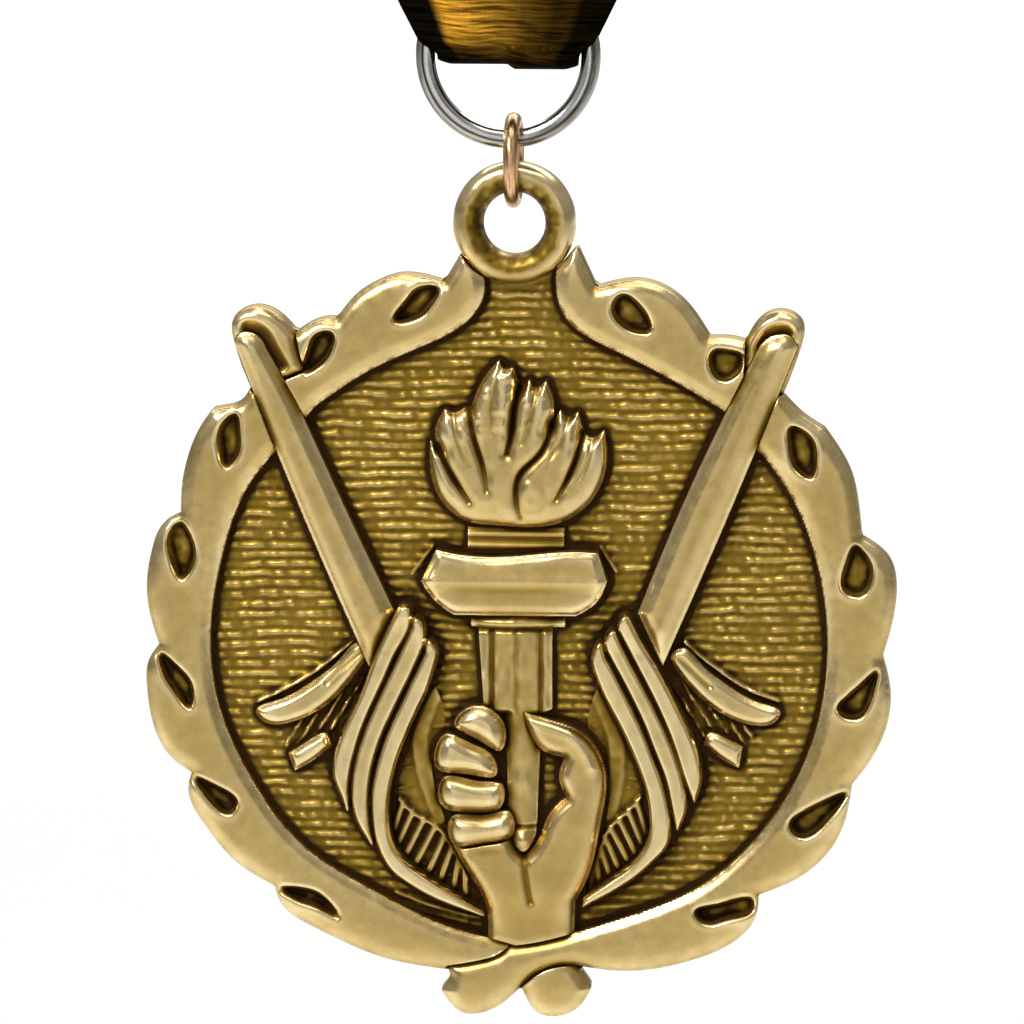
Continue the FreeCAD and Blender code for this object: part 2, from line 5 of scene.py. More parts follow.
import bpy
import numpy as np
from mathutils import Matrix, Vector


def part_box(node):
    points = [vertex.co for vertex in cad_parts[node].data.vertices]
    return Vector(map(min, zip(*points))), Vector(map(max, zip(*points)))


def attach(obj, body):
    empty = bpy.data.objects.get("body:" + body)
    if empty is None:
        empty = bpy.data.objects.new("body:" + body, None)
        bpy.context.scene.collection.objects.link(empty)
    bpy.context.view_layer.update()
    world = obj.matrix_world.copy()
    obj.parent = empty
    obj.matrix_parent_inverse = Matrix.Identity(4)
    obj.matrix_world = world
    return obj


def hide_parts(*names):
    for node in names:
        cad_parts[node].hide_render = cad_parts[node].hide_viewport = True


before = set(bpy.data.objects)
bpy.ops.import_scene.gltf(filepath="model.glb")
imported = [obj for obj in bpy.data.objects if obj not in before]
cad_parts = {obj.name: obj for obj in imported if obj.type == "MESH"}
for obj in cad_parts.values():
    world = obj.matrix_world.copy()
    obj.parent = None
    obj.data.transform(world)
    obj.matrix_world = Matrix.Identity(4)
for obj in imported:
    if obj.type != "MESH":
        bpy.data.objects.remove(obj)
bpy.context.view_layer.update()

MM = 0.001
LOOP_LOW, LOOP_HIGH = (np.array(corner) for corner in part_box("hanger_loop"))
LOOP_AT = np.array([-0.45, 33.2])
ORIGIN = np.array([
    (LOOP_LOW[0] + LOOP_HIGH[0]) / 2 / MM - LOOP_AT[0],
    (LOOP_LOW[1] + LOOP_HIGH[1]) / 2 / MM,
    LOOP_HIGH[2] / MM - 5.2 - LOOP_AT[1],
])
PLATE = 2.0
WREATH = 1.6


# ---------------------------------------------------------------- curves and distances
def spline(points, step=0.12, closed=False):
    """Smooth curve through the points, sampled about every step."""
    p = np.array(points, float)
    if len(p) == 2 and not closed:
        n = max(2, int(np.hypot(*(p[1] - p[0])) / step) + 1)
        return p[0] + (p[1] - p[0]) * np.linspace(0, 1, n)[:, None]
    if closed:
        p = np.vstack([p, p[:1]])
    h = np.hypot(*np.diff(p, axis=0).T)
    n = len(p)
    a = np.zeros((n, n))
    b = np.zeros((n, 2))
    slope = np.diff(p, axis=0) / h[:, None]
    for i in range(1, n - 1):
        a[i, i - 1], a[i, i], a[i, i + 1] = h[i - 1], 2 * (h[i - 1] + h[i]), h[i]
        b[i] = 6 * (slope[i] - slope[i - 1])
    if closed:
        a[0, 0], a[0, -1] = 1, -1
        a[-1, 0] += 2 * h[0]
        a[-1, 1] += h[0]
        a[-1, -2] += h[-1]
        a[-1, -1] += 2 * h[-1]
        b[-1] = 6 * (slope[0] - slope[-1])
    else:
        a[0, 0] = a[-1, -1] = 1
    m = np.linalg.solve(a, b)
    out = []
    for i in range(n - 1):
        t = np.linspace(0, 1, max(2, int(h[i] / step) + 1), endpoint=False)[:, None]
        u = 1 - t
        out.append(u * p[i] + t * p[i + 1]
                   + h[i] ** 2 / 6 * ((u ** 3 - u) * m[i] + (t ** 3 - t) * m[i + 1]))
    if not closed:
        out.append(p[-1:])
    return np.vstack(out)


def outline(*runs):
    """Closed loop from runs of points; each run is smooth, up to a corner at the next run's first point."""
    out = []
    for i, run in enumerate(runs):
        stop = runs[(i + 1) % len(runs)][0]
        run = list(run) if tuple(run[-1]) == tuple(stop) else list(run) + [stop]
        out.append(spline(run)[:-1])
    return np.vstack(out)


def blob(points):
    return spline(points, closed=True)


def tiles(p, size):
    """Groups of point numbers that fall in the same square tile."""
    cell = np.floor(p / size).astype(np.int64)
    key = (cell[:, 0] + 4000) * 100000 + cell[:, 1] + 4000
    order = np.argsort(key, kind="stable")
    cuts = np.nonzero(np.diff(key[order]))[0] + 1
    return np.split(order, cuts)


def nearest(p, line, closed, reach):
    """Distance to a line (reach + 1 beyond reach), nearest points, and the share of the length, 0 to 1."""
    a = line if closed else line[:-1]
    b = np.roll(line, -1, 0) if closed else line[1:]
    ab = b - a
    length2 = np.maximum((ab ** 2).sum(1), 1e-12)
    span = np.sqrt(length2)
    start = np.concatenate([[0], np.cumsum(span)])
    middle = (a + b) / 2
    dist, near, along = np.full(len(p), reach + 1.0), p.copy(), np.zeros(len(p))
    low, high = line.min(0) - reach, line.max(0) + reach
    pick = np.nonzero(((p >= low) & (p <= high)).all(1))[0]
    if not len(pick):
        return dist, near, along
    for group in tiles(p[pick], 2.0):
        who = pick[group]
        q = p[who]
        centre = (q.min(0) + q.max(0)) / 2
        radius = np.hypot(*(q.max(0) - centre))
        close = np.nonzero(np.hypot(*(middle - centre).T) < radius + reach + span / 2)[0]
        if not len(close):
            continue
        aa, dd, ll = a[close], ab[close], length2[close]
        ap = q[:, None] - aa[None]
        t = np.clip((ap * dd).sum(2) / ll, 0, 1)
        d2 = ((ap - t[..., None] * dd) ** 2).sum(2)
        k = d2.argmin(1)
        r = np.arange(len(q))
        tk = t[r, k]
        got = np.sqrt(d2[r, k])
        ok = got <= reach
        dist[who[ok]] = got[ok]
        near[who[ok]] = (aa[k] + tk[:, None] * dd[k])[ok]
        along[who[ok]] = ((start[close[k]] + tk * span[close[k]]) / start[-1])[ok]
    return dist, near, along


def inside(p, loop):
    """Even-odd test, one row of points at a time."""
    a, b = loop, np.roll(loop, -1, 0)
    hit = np.zeros(len(p), bool)
    rows = np.round(p[:, 1], 4)
    order = np.argsort(rows, kind="stable")
    cuts = np.nonzero(np.diff(rows[order]))[0] + 1
    for group in np.split(order, cuts):
        z = rows[group[0]] + 0.00003
        cross = (a[:, 1] > z) != (b[:, 1] > z)
        if not cross.any():
            continue
        aa, bb = a[cross], b[cross]
        at = np.sort(aa[:, 0] + (z - aa[:, 1]) * (bb[:, 0] - aa[:, 0]) / (bb[:, 1] - aa[:, 1]))
        hit[group] = np.searchsorted(at, p[group, 0]) % 2 == 1
    return hit


def signed(p, loop, reach=3.0):
    """Signed distance to a closed loop, positive inside, and the nearest point on it."""
    d = np.full(len(p), -reach - 1.0)
    near = p.copy()
    low, high = loop.min(0) - reach, loop.max(0) + reach
    pick = np.nonzero(((p >= low) & (p <= high)).all(1))[0]
    if len(pick):
        dist, spot, _ = nearest(p[pick], loop, True, reach)
        d[pick] = np.where(inside(p[pick], loop), dist, -dist)
        near[pick] = spot
    return d, near


def off_line(p, points, reach=2.0, smooth=True):
    """Distance to an open curve, and how far along it."""
    line = spline(points) if smooth else np.array(points, float)
    d, _, along = nearest(p, line, False, reach)
    return d, along


def ease(x):
    x = np.clip(x, 0, 1)
    return x * x * (3 - 2 * x)


def crosswise(along):
    """Unit normals to the right of the directions given."""
    along = along / np.hypot(*along.T)[:, None]
    return np.column_stack([along[:, 1], -along[:, 0]])


def grown(loop, by):
    """The loop moved outwards by a small distance."""
    normal = crosswise(np.roll(loop, -1, 0) - np.roll(loop, 1, 0))
    x, z = loop.T
    turn = np.sign((x * np.roll(z, -1) - z * np.roll(x, -1)).sum())
    return loop + normal * turn * by


def noise(p, size, seed):
    """Smooth value noise, -1 to 1, with cells of the given size (a number or a pair)."""
    rng = np.random.default_rng(seed)
    table = rng.uniform(-1, 1, (256, 256))
    q = p / np.array(size) + 1000
    i = np.floor(q).astype(int)
    f = q - i
    f = f * f * (3 - 2 * f)
    x0, z0, x1, z1 = i[:, 0] % 256, i[:, 1] % 256, (i[:, 0] + 1) % 256, (i[:, 1] + 1) % 256
    low = table[x0, z0] * (1 - f[:, 0]) + table[x1, z0] * f[:, 0]
    high = table[x0, z1] * (1 - f[:, 0]) + table[x1, z1] * f[:, 0]
    return low * (1 - f[:, 1]) + high * f[:, 1]


# ---------------------------------------------------------------- outlines
LEFT_INNER = [(-1, -28.4), (-7, -26.7), (-12.5, -24), (-18.5, -20.2), (-22.8, -14.6), (-25.6, -8.3),
    (-26.3, -1.5), (-25.3, 4.6), (-22.6, 11.3), (-20.5, 13.8)]
LEFT_TOP_INNER = [(-17.3, 17.5), (-12.5, 20.7), (-7.5, 23), (-3.8, 25.5), (-2.9, 27.6), (-3.2, 29.2)]
RIGHT_TOP_INNER = [(3.1, 29.2), (3.1, 27.6), (3.8, 25.4), (8, 22.5), (14, 19.4), (17.2, 17.5)]
RIGHT_INNER = [(20.8, 13.4), (22.4, 11.2), (25.2, 4.5), (26.1, -2), (25, -10.3), (21.4, -17.5),
    (15.2, -23.4), (8, -26.4), (1, -28.4), (-0.8, -28.7)]
LEFT_BRANCH = outline([(-4.7, 31)], [(-6.4, 28.1), (-8.3, 28.6), (-10.3, 28.7), (-12, 28.1), (-13.8, 27)],
    [(-15.5, 24.95), (-16.7, 24.9), (-17.8, 24.5)], [(-19, 23.7)], [(-22.9, 18.9), (-23.9, 17.65),
    (-25, 17.3)], [(-26.1, 17.1), (-27.1, 15.7), (-28.1, 13.4), (-28.65, 11)], [(-28.8, 8.1),
    (-30.5, 7.1), (-31.2, 5.5), (-31.75, 1.8), (-31.3, -1.2)], [(-30.7, -3.05), (-31.6, -4.3),
    (-31.8, -6.6), (-31.2, -10.2), (-29.7, -12.8)], [(-28, -14), (-28.3, -15.4), (-26.8, -18.7),
    (-24.4, -21.6)], [(-20.9, -23.8), (-20.6, -24.9), (-17.4, -27.4), (-11.5, -29.9)], [(-6.2, -30.8)],
    [(0.3, -32.4), (1.7, -34.5), (3, -34.75), (5.3, -33.7)], [(6.1, -32.3)], [(4.7, -30.3), (-1, -28.4)],
    LEFT_INNER, [(-20.5, 13.8), (-17.3, 17.5)], LEFT_TOP_INNER)
RIGHT_BRANCH = outline(RIGHT_TOP_INNER, [(17.2, 17.5), (20.8, 13.4)], RIGHT_INNER, [(-0.8, -28.7),
    (-1.6, -29.3), (-3.3, -29.9)], [(-6.2, -30.5), (-5.9, -31.3)], [(-6.65, -32.6), (-4.9, -34.5),
    (-2.1, -34.1), (0.1, -32.3), (2.5, -30.6)], [(4.7, -30.25), (9, -30.7), (15, -29.6), (18.2, -28.1),
    (20.2, -25.6)], [(20.2, -24), (24.4, -22), (27.3, -18.5)], [(28.2, -14.4), (30.3, -11.4),
    (31.4, -6.8)], [(30.7, -3.5), (31.75, 0.8), (31.2, 4.9)], [(28.9, 6.7), (28.6, 9.4), (28.1, 11.8)],
    [(25.7, 15.9), (24, 17)], [(22.2, 18.8)], [(19.1, 23.3), (17.7, 23.6)], [(16, 23.6), (13.3, 27.1),
    (10.2, 28.4)], [(6.4, 27.75)], [(4.8, 31.2), (3.1, 29.2)])
FIELD = outline([(-4.4, 28.6), (-9, 25), (-17, 21), (-24.5, 12.5), (-28.3, 0), (-27, -12), (-20.5, -21),
    (-11, -27.5), (0, -30), (11, -27.7), (20.5, -21.5), (27, -12.5), (28.3, 0), (24.5, 12.5), (17, 21),
    (9, 25), (4.4, 28.6)])
HOLLOWS = {
    "left": [
        [(-6.8, 27.7), (-8.3, 27.8), (-9.6, 26.6), (-10.6, 24.9), (-9, 25), (-7.3, 26.4)],
        [(-15.8, 23.8), (-17, 23.8), (-17.9, 22.3), (-18.3, 20.4), (-17, 21), (-15.9, 22.4)],
        [(-24.1, 16.9), (-25.3, 15.8), (-25.5, 13.8), (-24.9, 12.3), (-24.1, 13), (-23.7, 15.2)],
        [(-28.9, 7.6), (-29.8, 6.6), (-29.7, 4.6), (-28.7, 2.7), (-27.9, 3.6), (-28, 6.5)],
        [(-30.7, -3.7), (-30.4, -5.4), (-29.3, -7.2), (-28.1, -8.4), (-27.8, -7.2), (-29.2, -4.8)],
        [(-27.8, -14.4), (-26.7, -16.2), (-24.6, -17.4), (-24.1, -16.7), (-25.7, -15.2)],
        [(-20.5, -24), (-19, -25), (-17, -25.7), (-15.4, -26.4), (-16.4, -24.9), (-18.4, -23.9)]],
    "right": [
        [(7.9, 26.4), (8.6, 27.3), (9.8, 26.8), (11, 24.2), (9.6, 24.2)],
        [(16.3, 22.6), (17.6, 22.7), (18.9, 22.2), (18.2, 20.5), (16.8, 20.2)],
        [(22.9, 16.2), (22.8, 14.6), (23.5, 12.5), (24.6, 11.9), (25.1, 13.8), (24.3, 15.7)],
        [(28.6, 6.2), (27.6, 4.4), (27.5, 2.3), (28.7, 1.9), (29.8, 4.6), (29.2, 5.6)],
        [(30.4, -4.4), (28.8, -5.8), (27.1, -8.1), (28.5, -8.6), (29.9, -6.8)],
        [(27.9, -15), (25.3, -16), (23.1, -18.2), (23.6, -18.7), (26.3, -17.3)],
        [(20, -24.5), (17, -24.7), (15, -25.6), (15.6, -26.3), (18, -26), (20, -25.2)]]}
KNOBS = {
    "left": outline([(-22.6, 18.6), (-24.2, 23), (-24.2, 25), (-22.4, 25.9), (-20.6, 25.3)],
        [(-19, 23.7)], [(-18.2, 20.5)]),
    "right": outline([(22.2, 18.8), (23.7, 22.9), (23.8, 24.9), (22.2, 25.9), (20.4, 25.3)],
        [(19.1, 23.3)], [(19, 20.3)])}
SHAFTS = {
    "left": outline([(-24.1, 22.9), (-23.7, 23.7), (-22.8, 23.8), (-21.9, 23.3)], [(-21.4, 22.4)],
        [(-18.9, 18), (-14.9, 9.2)], [(-10.6, 0.1)], [(-12.7, -4.8), (-18.6, 8.8)]),
    "right": outline([(20, 22.5), (20.7, 23.5), (21.8, 24), (22.8, 23.9)], [(23.5, 23), (17.8, 8.8)],
        [(12.2, -4.3)], [(10.1, 0.2), (14, 9.8)])}
SHAFT_AXES = {"left": [(-22.6, 23.0), (-11.7, -2.3)], "right": [(21.7, 23.2), (11.2, -2.2)]}
BANDS = {
    "left": [
        outline([(-10.4, 0.1), (-9.9, 0.7), (-9.3, 0.6)], [(-9.1, -0.1), (-9.2, -1), (-10.3, -3.2),
            (-11.4, -5.6), (-12.6, -8.2), (-13.5, -10.5), (-14, -12.2), (-14.4, -14)], [(-14.6, -17.1),
            (-15.1, -15.8), (-15.6, -14.6), (-15.8, -13.2), (-15.6, -12), (-15, -10.3), (-14.2, -8.6),
            (-13.2, -6.4), (-12.3, -4)]),
        outline([(-9, -1), (-8.8, -0.3), (-8.3, -0.5), (-7.95, -1.3)], [(-8, -2.6), (-8.9, -4.7),
            (-10.1, -7.2), (-11.3, -9.7), (-12.1, -11.8), (-12.6, -13.8), (-12.8, -15.5), (-12.8, -17.2)],
            [(-12.5, -20), (-13.2, -19), (-13.9, -17.6), (-14.2, -16), (-14.2, -14.5), (-13.9, -12.6),
            (-13.3, -10.6), (-12.5, -8.6), (-11.3, -6), (-10.1, -3.4)]),
        outline([(-7.95, -3.4), (-7.6, -2.2), (-7.1, -2.6)], [(-7.1, -4.2), (-7.7, -6.2), (-8.7, -8.4),
            (-9.7, -10.7), (-10.5, -12.9), (-11, -15), (-11.2, -16.8), (-11.1, -18.4), (-10.7, -20),
            (-9.9, -21.2), (-8.6, -22.3), (-7, -23.3), (-5.5, -24.2)], [(-3.1, -25.7)], [(-3, -26),
            (-6, -25), (-8, -24.1), (-9.5, -23.2), (-10.8, -22.2), (-11.7, -20.8), (-12.3, -19),
            (-12.5, -17.3), (-12.5, -15.3), (-12.1, -13.2), (-11.4, -10.9), (-10.4, -8.6), (-9.2, -6)])],
    "right": [
        outline([(8.5, -1.2), (8.5, -0.4), (9, 0.1)], [(9.5, -0.4), (10.5, -2.4), (11.7, -4.4),
            (12.9, -6.6), (14, -8.8), (14.9, -10.8), (15.4, -12.5), (15.5, -14)], [(14.95, -15.95),
            (14, -13.6), (13.5, -12), (12.8, -10), (11.8, -7.7), (10.6, -5.3), (9.4, -3)]),
        outline([(7.5, -3), (7.4, -1.8), (7.9, -1.2)], [(8.6, -2.2), (9.6, -4.2), (10.9, -6.6),
            (12.1, -9), (13, -11), (13.8, -13.3), (14.2, -15.2), (14.2, -16.7)], [(13.5, -18.4),
            (12.9, -15.8), (12.5, -14), (11.7, -11.9), (10.8, -9.6), (9.7, -7.2), (8.5, -4.9)]),
        outline([(6.4, -4.7), (6.3, -3.2), (6.8, -2.3)], [(7.4, -3.6), (8.2, -5), (9.4, -7.4),
            (10.6, -9.9), (11.5, -12.2), (12.3, -14.4), (12.8, -16.6), (12.9, -18.2), (12.7, -19.5),
            (11.6, -20.9), (10.2, -22.2), (8.5, -23.4)], [(5.5, -25.1)], [(5.6, -24.3), (8, -22.6),
            (9.7, -21.3), (10.7, -20), (11.2, -18.5), (11.2, -17), (10.9, -15), (10.2, -12.9),
            (9.3, -10.8), (8.2, -8.6), (7.1, -6.4)])]}
BAND_AREAS = {
    "left": outline([(-10.5, 0.2)], [(-9.1, 0.8), (-8.1, -1.2)], [(-7.1, -3.8), (-8.7, -8.4),
        (-10.5, -12.9), (-11.2, -16.8), (-9.9, -21.2)], [(-3.1, -25.6)], [(-3.1, -26), (-9.5, -23.2)],
        [(-12.5, -20)], [(-14.5, -17), (-15.8, -13.2), (-15, -10.3), (-12.3, -4)]),
    "right": outline([(6.4, -4.2), (7.2, -2)], [(9.1, 0), (11.7, -4.4), (14, -8.8), (15.4, -12.6)],
        [(15, -15.9)], [(13.5, -18.4), (11.6, -20.9)], [(5.5, -25.1)], [(5.6, -24.3), (9.7, -21.3),
        (11.2, -17.6), (9.3, -10.8)])}
TOES = {
    "upper_left": blob([(-22.5, -8.7), (-21, -7.85), (-18.9, -6.9), (-17, -5.6), (-15.2, -4),
        (-13.5, -2.7), (-12.9, -3.3), (-13.3, -4.5), (-14.9, -6.6), (-17, -8.5), (-19.4, -9.6),
        (-21, -9.85), (-22.1, -9.4)]),
    "lower_left": outline([(-19.75, -12.3)], [(-19.2, -13.8), (-17.6, -12.9)], [(-16, -11.6),
        (-16.6, -10.5), (-17.6, -10.9)]),
    "upper_right": blob([(22.2, -8.3), (20.7, -7.5), (18.7, -6.6), (16.9, -5.4), (15.2, -3.9),
        (13.8, -2.8), (12.9, -3.4), (13.2, -4.5), (14.7, -6.4), (16.7, -8.1), (19.1, -9.2), (20.7, -9.4),
        (21.8, -9)]),
    "lower_right": outline([(15.7, -11.1), (16.1, -10.1), (17.4, -10.4)], [(19, -11.2)], [(18.7, -13.1),
        (17.2, -12.3)])}
LADDERS = {
    "left": outline([(-7.2, -6.4), (-9.7, -11.2), (-10.8, -15.4), (-10.5, -19.6), (-8, -22.4)],
        [(-3.4, -25.2)], [(-5.2, -21.2), (-6.6, -17.2), (-7.3, -12), (-6.4, -9.4)]),
    "right": outline([(6.6, -6.4), (9.2, -11.2), (10.8, -15.8), (10.8, -19.4), (8.6, -21.8)],
        [(5, -24.6)], [(6.6, -20.6), (7.4, -14.6), (5.8, -9.6)])}
FLAME = outline([(-1.5, 7.5), (-5.2, 8.2), (-7.3, 11)], [(-7.55, 14.7)], [(-6.9, 13.9), (-7.1, 15.8)],
    [(-6.3, 17.4), (-5.6, 17.1)], [(-4.7, 17.5)], [(-4.1, 17.5), (-3.2, 19.7)], [(-1.7, 21.6),
    (-1.3, 20.9)], [(-0.5, 21)], [(0.1, 19.2)], [(0.9, 19.95), (1.3, 19.3)], [(2.3, 19.9), (2.95, 17.9)],
    [(2.75, 16)], [(3.5, 17.4), (4.1, 16.8)], [(5, 17.3)], [(5.5, 15.4), (6.1, 15.1)], [(7.2, 15.7),
    (7.4, 13), (6.2, 9.8), (3.5, 7.8)])
FLAME_GROOVES = [
    ([(-6.95, 14.2), (-5.8, 12), (-4.2, 9.6)], 1),
    ([(-4.3, 17.6), (-3.8, 15), (-3, 12.4), (-2.7, 10.6)], 0.8),
    ([(0.1, 19.6), (-0.4, 17.4), (-0.6, 15.6), (-1, 13.7)], 1.5),
    ([(2.8, 16.2), (1.7, 13.6), (0.1, 11.9), (-0.25, 10.2), (0.1, 8.2)], 0.9),
    ([(5.4, 15.5), (4.7, 12.9), (3.2, 9.9)], 1),
    ([(-1.7, 20.6), (-2.4, 18), (-2.3, 15.5)], 0.25),
    ([(1.4, 19.2), (0.9, 16.6), (0.2, 14.6)], 0.35),
    ([(4.2, 16.7), (3.4, 14.6), (2.2, 12.6)], 0.3),
    ([(6.2, 14.9), (5.6, 12.6), (4.4, 10.6)], 0.25),
    ([(-5.6, 17), (-5.1, 14.6), (-4.2, 12.6)], 0.25)]
COLLAR = outline([(-7, 5.45), (-5.6, 5.15), (0, 5), (5.2, 5.4)], [(6.7, 5.3)], [(7.5, 2.9), (6.7, 1.2)],
    [(4.9, -0.1)], [(-5.5, -0.1), (-7.4, 1.4)], [(-8.3, 2.8)])
NECK = outline([(-4.4, 5)], [(-4.4, 7.3)], [(3.8, 7.3)], [(3.8, 5)])
HANDLE = outline([(-4.1, 0.1)], [(-4.1, -1.2)], [(-3.5, -1.2)], [(-3, -8.2)], [(-1.2, -8.6)],
    [(-0.9, -18.2), (-0.55, -19.4), (0.35, -20.45), (1.25, -19.4)], [(1.5, -18.2)], [(1.9, -8.6)],
    [(2.8, -8.2)], [(2.8, -1.2)], [(3.9, -1.2)], [(3.9, 0.1)])
PALM = outline([(0.4, -8.4), (2.5, -9), (5.2, -10), (7.4, -13.6), (7, -17.6), (6, -22.3)], [(4.8, -24.8)],
    [(4.7, -28), (0.3, -29.2)], [(-2.7, -28.4), (-2.9, -25), (-5, -21.2)], [(-5.9, -19.4)],
    [(-0.9, -18.7), (0.4, -20.7)], [(1.9, -19), (2.7, -17)], [(4, -15.7), (3.4, -14)], [(3.9, -12.3),
    (2.2, -11.8), (0.9, -10.3)])
FINGERS = [blob(points) for points in (
    [(-5.5, -9.4), (-4.4, -8.1), (-2.6, -8.1), (-1.1, -10.2), (-1.5, -11.7), (-3.5, -10.8)],
    [(-6.3, -10.4), (-4.2, -11.1), (-2.2, -12.3), (-1.9, -13.8), (-4.4, -13.8), (-7.1, -13.2)],
    [(-6.5, -14.2), (-3.5, -14.4), (-1.4, -14.8), (-1.4, -16.4), (-4.4, -17.1), (-6.7, -16.4)],
    [(-5.8, -17.6), (-3, -17.3), (-0.7, -17.1), (-0.4, -18.8), (-3, -19.9), (-5.7, -19.8)],
)]
LOOP_EDGE = LOOP_AT + 5.2 * np.column_stack([f(np.linspace(0, 2 * math.pi, 200, endpoint=False))
                                            for f in (np.cos, np.sin)])


# ---------------------------------------------------------------- heights of the relief
def bell(x, width, power=2):
    """1 at x = 0, falling off over the width."""
    return np.exp(-(x / width) ** power)


def shoulder(d, reach, power):
    """0 at the rim, rounding over to 1 at the reach."""
    return 1 - np.clip(1 - d / reach, 0, 1) ** power


def ground_height(p):
    """Woven ground of rows of short raised dashes."""
    row = p[:, 1] / 0.86 + 0.22 * noise(p, (5.0, 3.0), 3) + 0.11 * noise(p, (1.3, 0.9), 4)
    index = np.floor(row)
    across = np.abs(row - index - 0.5) * 2
    ridge = np.clip(1 - (across * 1.45) ** 2.0, 0, 1)
    long_dash = noise(np.column_stack([p[:, 0] / 1.25 + 0.37 * index, index * 7.13]), 1.0, 11)
    short_dash = noise(np.column_stack([p[:, 0] / 0.5 + 0.61 * index, index * 5.71]), 1.0, 12)
    dash = ease((0.75 * long_dash + 0.75 * short_dash + 0.6) / 0.9)
    h = 0.24 * ridge * (0.35 + 0.65 * dash)
    return h + 0.045 * noise(p, 0.36, 5) + 0.03 * noise(p, 1.6, 6)


GROUND_RIDGES = [
    ([(-22.4, -7.9), (-20.5, -7.0), (-17.6, -5.35), (-14.9, -3.2), (-13.8, -2.3)], 0.16, 0.8),
    ([(14.0, -2.3), (15.3, -3.5), (17.2, -4.9), (19.0, -6.1), (22.0, -7.3)], 0.16, 0.8),
    ([(6.9, 5.6), (8.2, 3.6)], 0.16, 0.45),
    ([(-7.4, 5.6), (-9.2, 3.2)], 0.16, 0.45),
    ([(-10.6, -24.3), (-7.0, -25.6), (-3.4, -26.4)], 0.14, 0.4),
    ([(-11.6, -24.9), (-7.4, -26.2), (-4.6, -26.8)], 0.14, 0.3),
]
TOE_GAPS = [
    outline([(-13.2, -4.6), (-19.5, -9.8)], [(-20.6, -10.6)], [(-19.7, -12.4), (-15.6, -12.0)]),
    outline([(13.1, -4.6), (19.2, -9.4)], [(20.0, -10.2)], [(19.0, -11.6), (15.4, -12.0)]),
]


def ground(p, d):
    h = ground_height(p)
    clear = np.full(len(p), 3.0)
    for loop in (LEFT_BRANCH, RIGHT_BRANCH, *SHAFTS.values(), *BAND_AREAS.values(), *TOES.values(),
                 FLAME, COLLAR, NECK, HANDLE, PALM, LOOP_EDGE):
        gap, _ = signed(p, loop, 1.5)
        clear = np.minimum(clear, -gap)
    h *= ease((clear - 0.25 + 0.25 * noise(p, 1.2, 8)) / 0.5)
    for zone, way in zip(TOE_GAPS, (1, -1)):
        deep, _ = signed(p, zone, 1.0)
        rib = p @ np.array([[0.85, 0.53 * way], [-0.53 * way, 0.85]])
        lumps = 0.06 + 0.62 * np.clip(0.55 * np.sin(rib[:, 0] * 7.4) + 0.5 * noise(p, 0.62, 13)
                                      + 0.3 * noise(p, 0.28, 14), 0, 1)
        share = ease(deep / 0.3 + 0.5)
        h = h * (1 - share) + lumps * share
    for points, width, rise in GROUND_RIDGES:
        gap, _ = off_line(p, points, 1.0)
        h = np.maximum(h, rise * ease(1.15 - gap / width / 1.6) * (0.85 + 0.3 * noise(p, 0.8, 15)))
    return h


def branch(inner_lines, hollows, rise):
    def height(p, d):
        h = rise - 0.75 + 0.75 * np.sqrt(shoulder(d, 1.25, 2))
        h += 0.12 * shoulder(d, 2.8, 2) - 0.12
        for line in inner_lines:
            gap, _ = off_line(p, line, 2.0)
            h = np.minimum(h, rise - 0.55 * np.clip(1 - gap / 1.0, 0, 1))
        h += 0.05 * noise(p, 3.5, 21) + 0.012 * noise(p, 0.8, 22)
        for points in hollows:
            deep, _ = signed(p, blob(points), 0.6)
            floor = 0.1 * noise(p, 0.35, 23) + 0.12 * noise(p, 0.9, 24)
            cut = ease((deep + 0.05) / 0.34)
            h = h * (1 - cut) + (rise - 1.4 + floor) * cut
            h += 0.06 * bell(deep + 0.32, 0.2)
        return h
    return height


def knob(p, d):
    """Rounded rim round the end of the stick, hollow between the rim and the shaft."""
    h = 0.5 + 1.0 * np.sqrt(shoulder(d, 1.0, 2))
    gap = np.full(len(p), 9.0)
    for loop in SHAFTS.values():
        away, _ = signed(p, loop, 3.0)
        gap = np.minimum(gap, -away)
    return h - 0.75 * (1 - ease((gap - 0.25) / 1.1)) * ease((d - 0.5) / 0.7) + 0.02 * noise(p, 1.0, 25)


def finger_height(p, d):
    h = 1.25 + 1.05 * shoulder(d, 1.35, 2.2)
    return h + 0.03 * noise(p, 1.3, 111)


def shaft(axis):
    a, b = np.array(axis[0]), np.array(axis[1])
    along = (b - a) / np.hypot(*(b - a))
    side = np.array([-along[1], along[0]])

    def height(p, d):
        u = (p - a) @ side
        h = 1.1 + 0.9 * shoulder(d, 1.25, 2.0)
        h += 0.07 * bell(u - 0.45, 0.34) - 0.05 * bell(u + 0.25, 0.35)
        return h + 0.02 * noise(p, 2.0, 31)
    return height


def bands(p, d):
    h = 1.5 + 0.62 * shoulder(d, 0.4, 2.4)
    tips = np.clip((p[:, 1] + 3.2) / 3.0, 0, 1)
    return h + 0.25 * tips + 0.02 * noise(p, 1.6, 41)


def toe(p, d):
    h = 0.7 + 0.65 * shoulder(d, 0.75, 2.2)
    for points in ([(-16.4, -6.1), (-14.8, -4.6), (-13.5, -3.5)],
                   [(16.2, -6.0), (14.7, -4.6), (13.6, -3.6)]):
        gap, _ = off_line(p, points, 1.5)
        h -= 0.3 * bell(gap, 0.2)
    return h + 0.03 * noise(p, 1.1, 42)


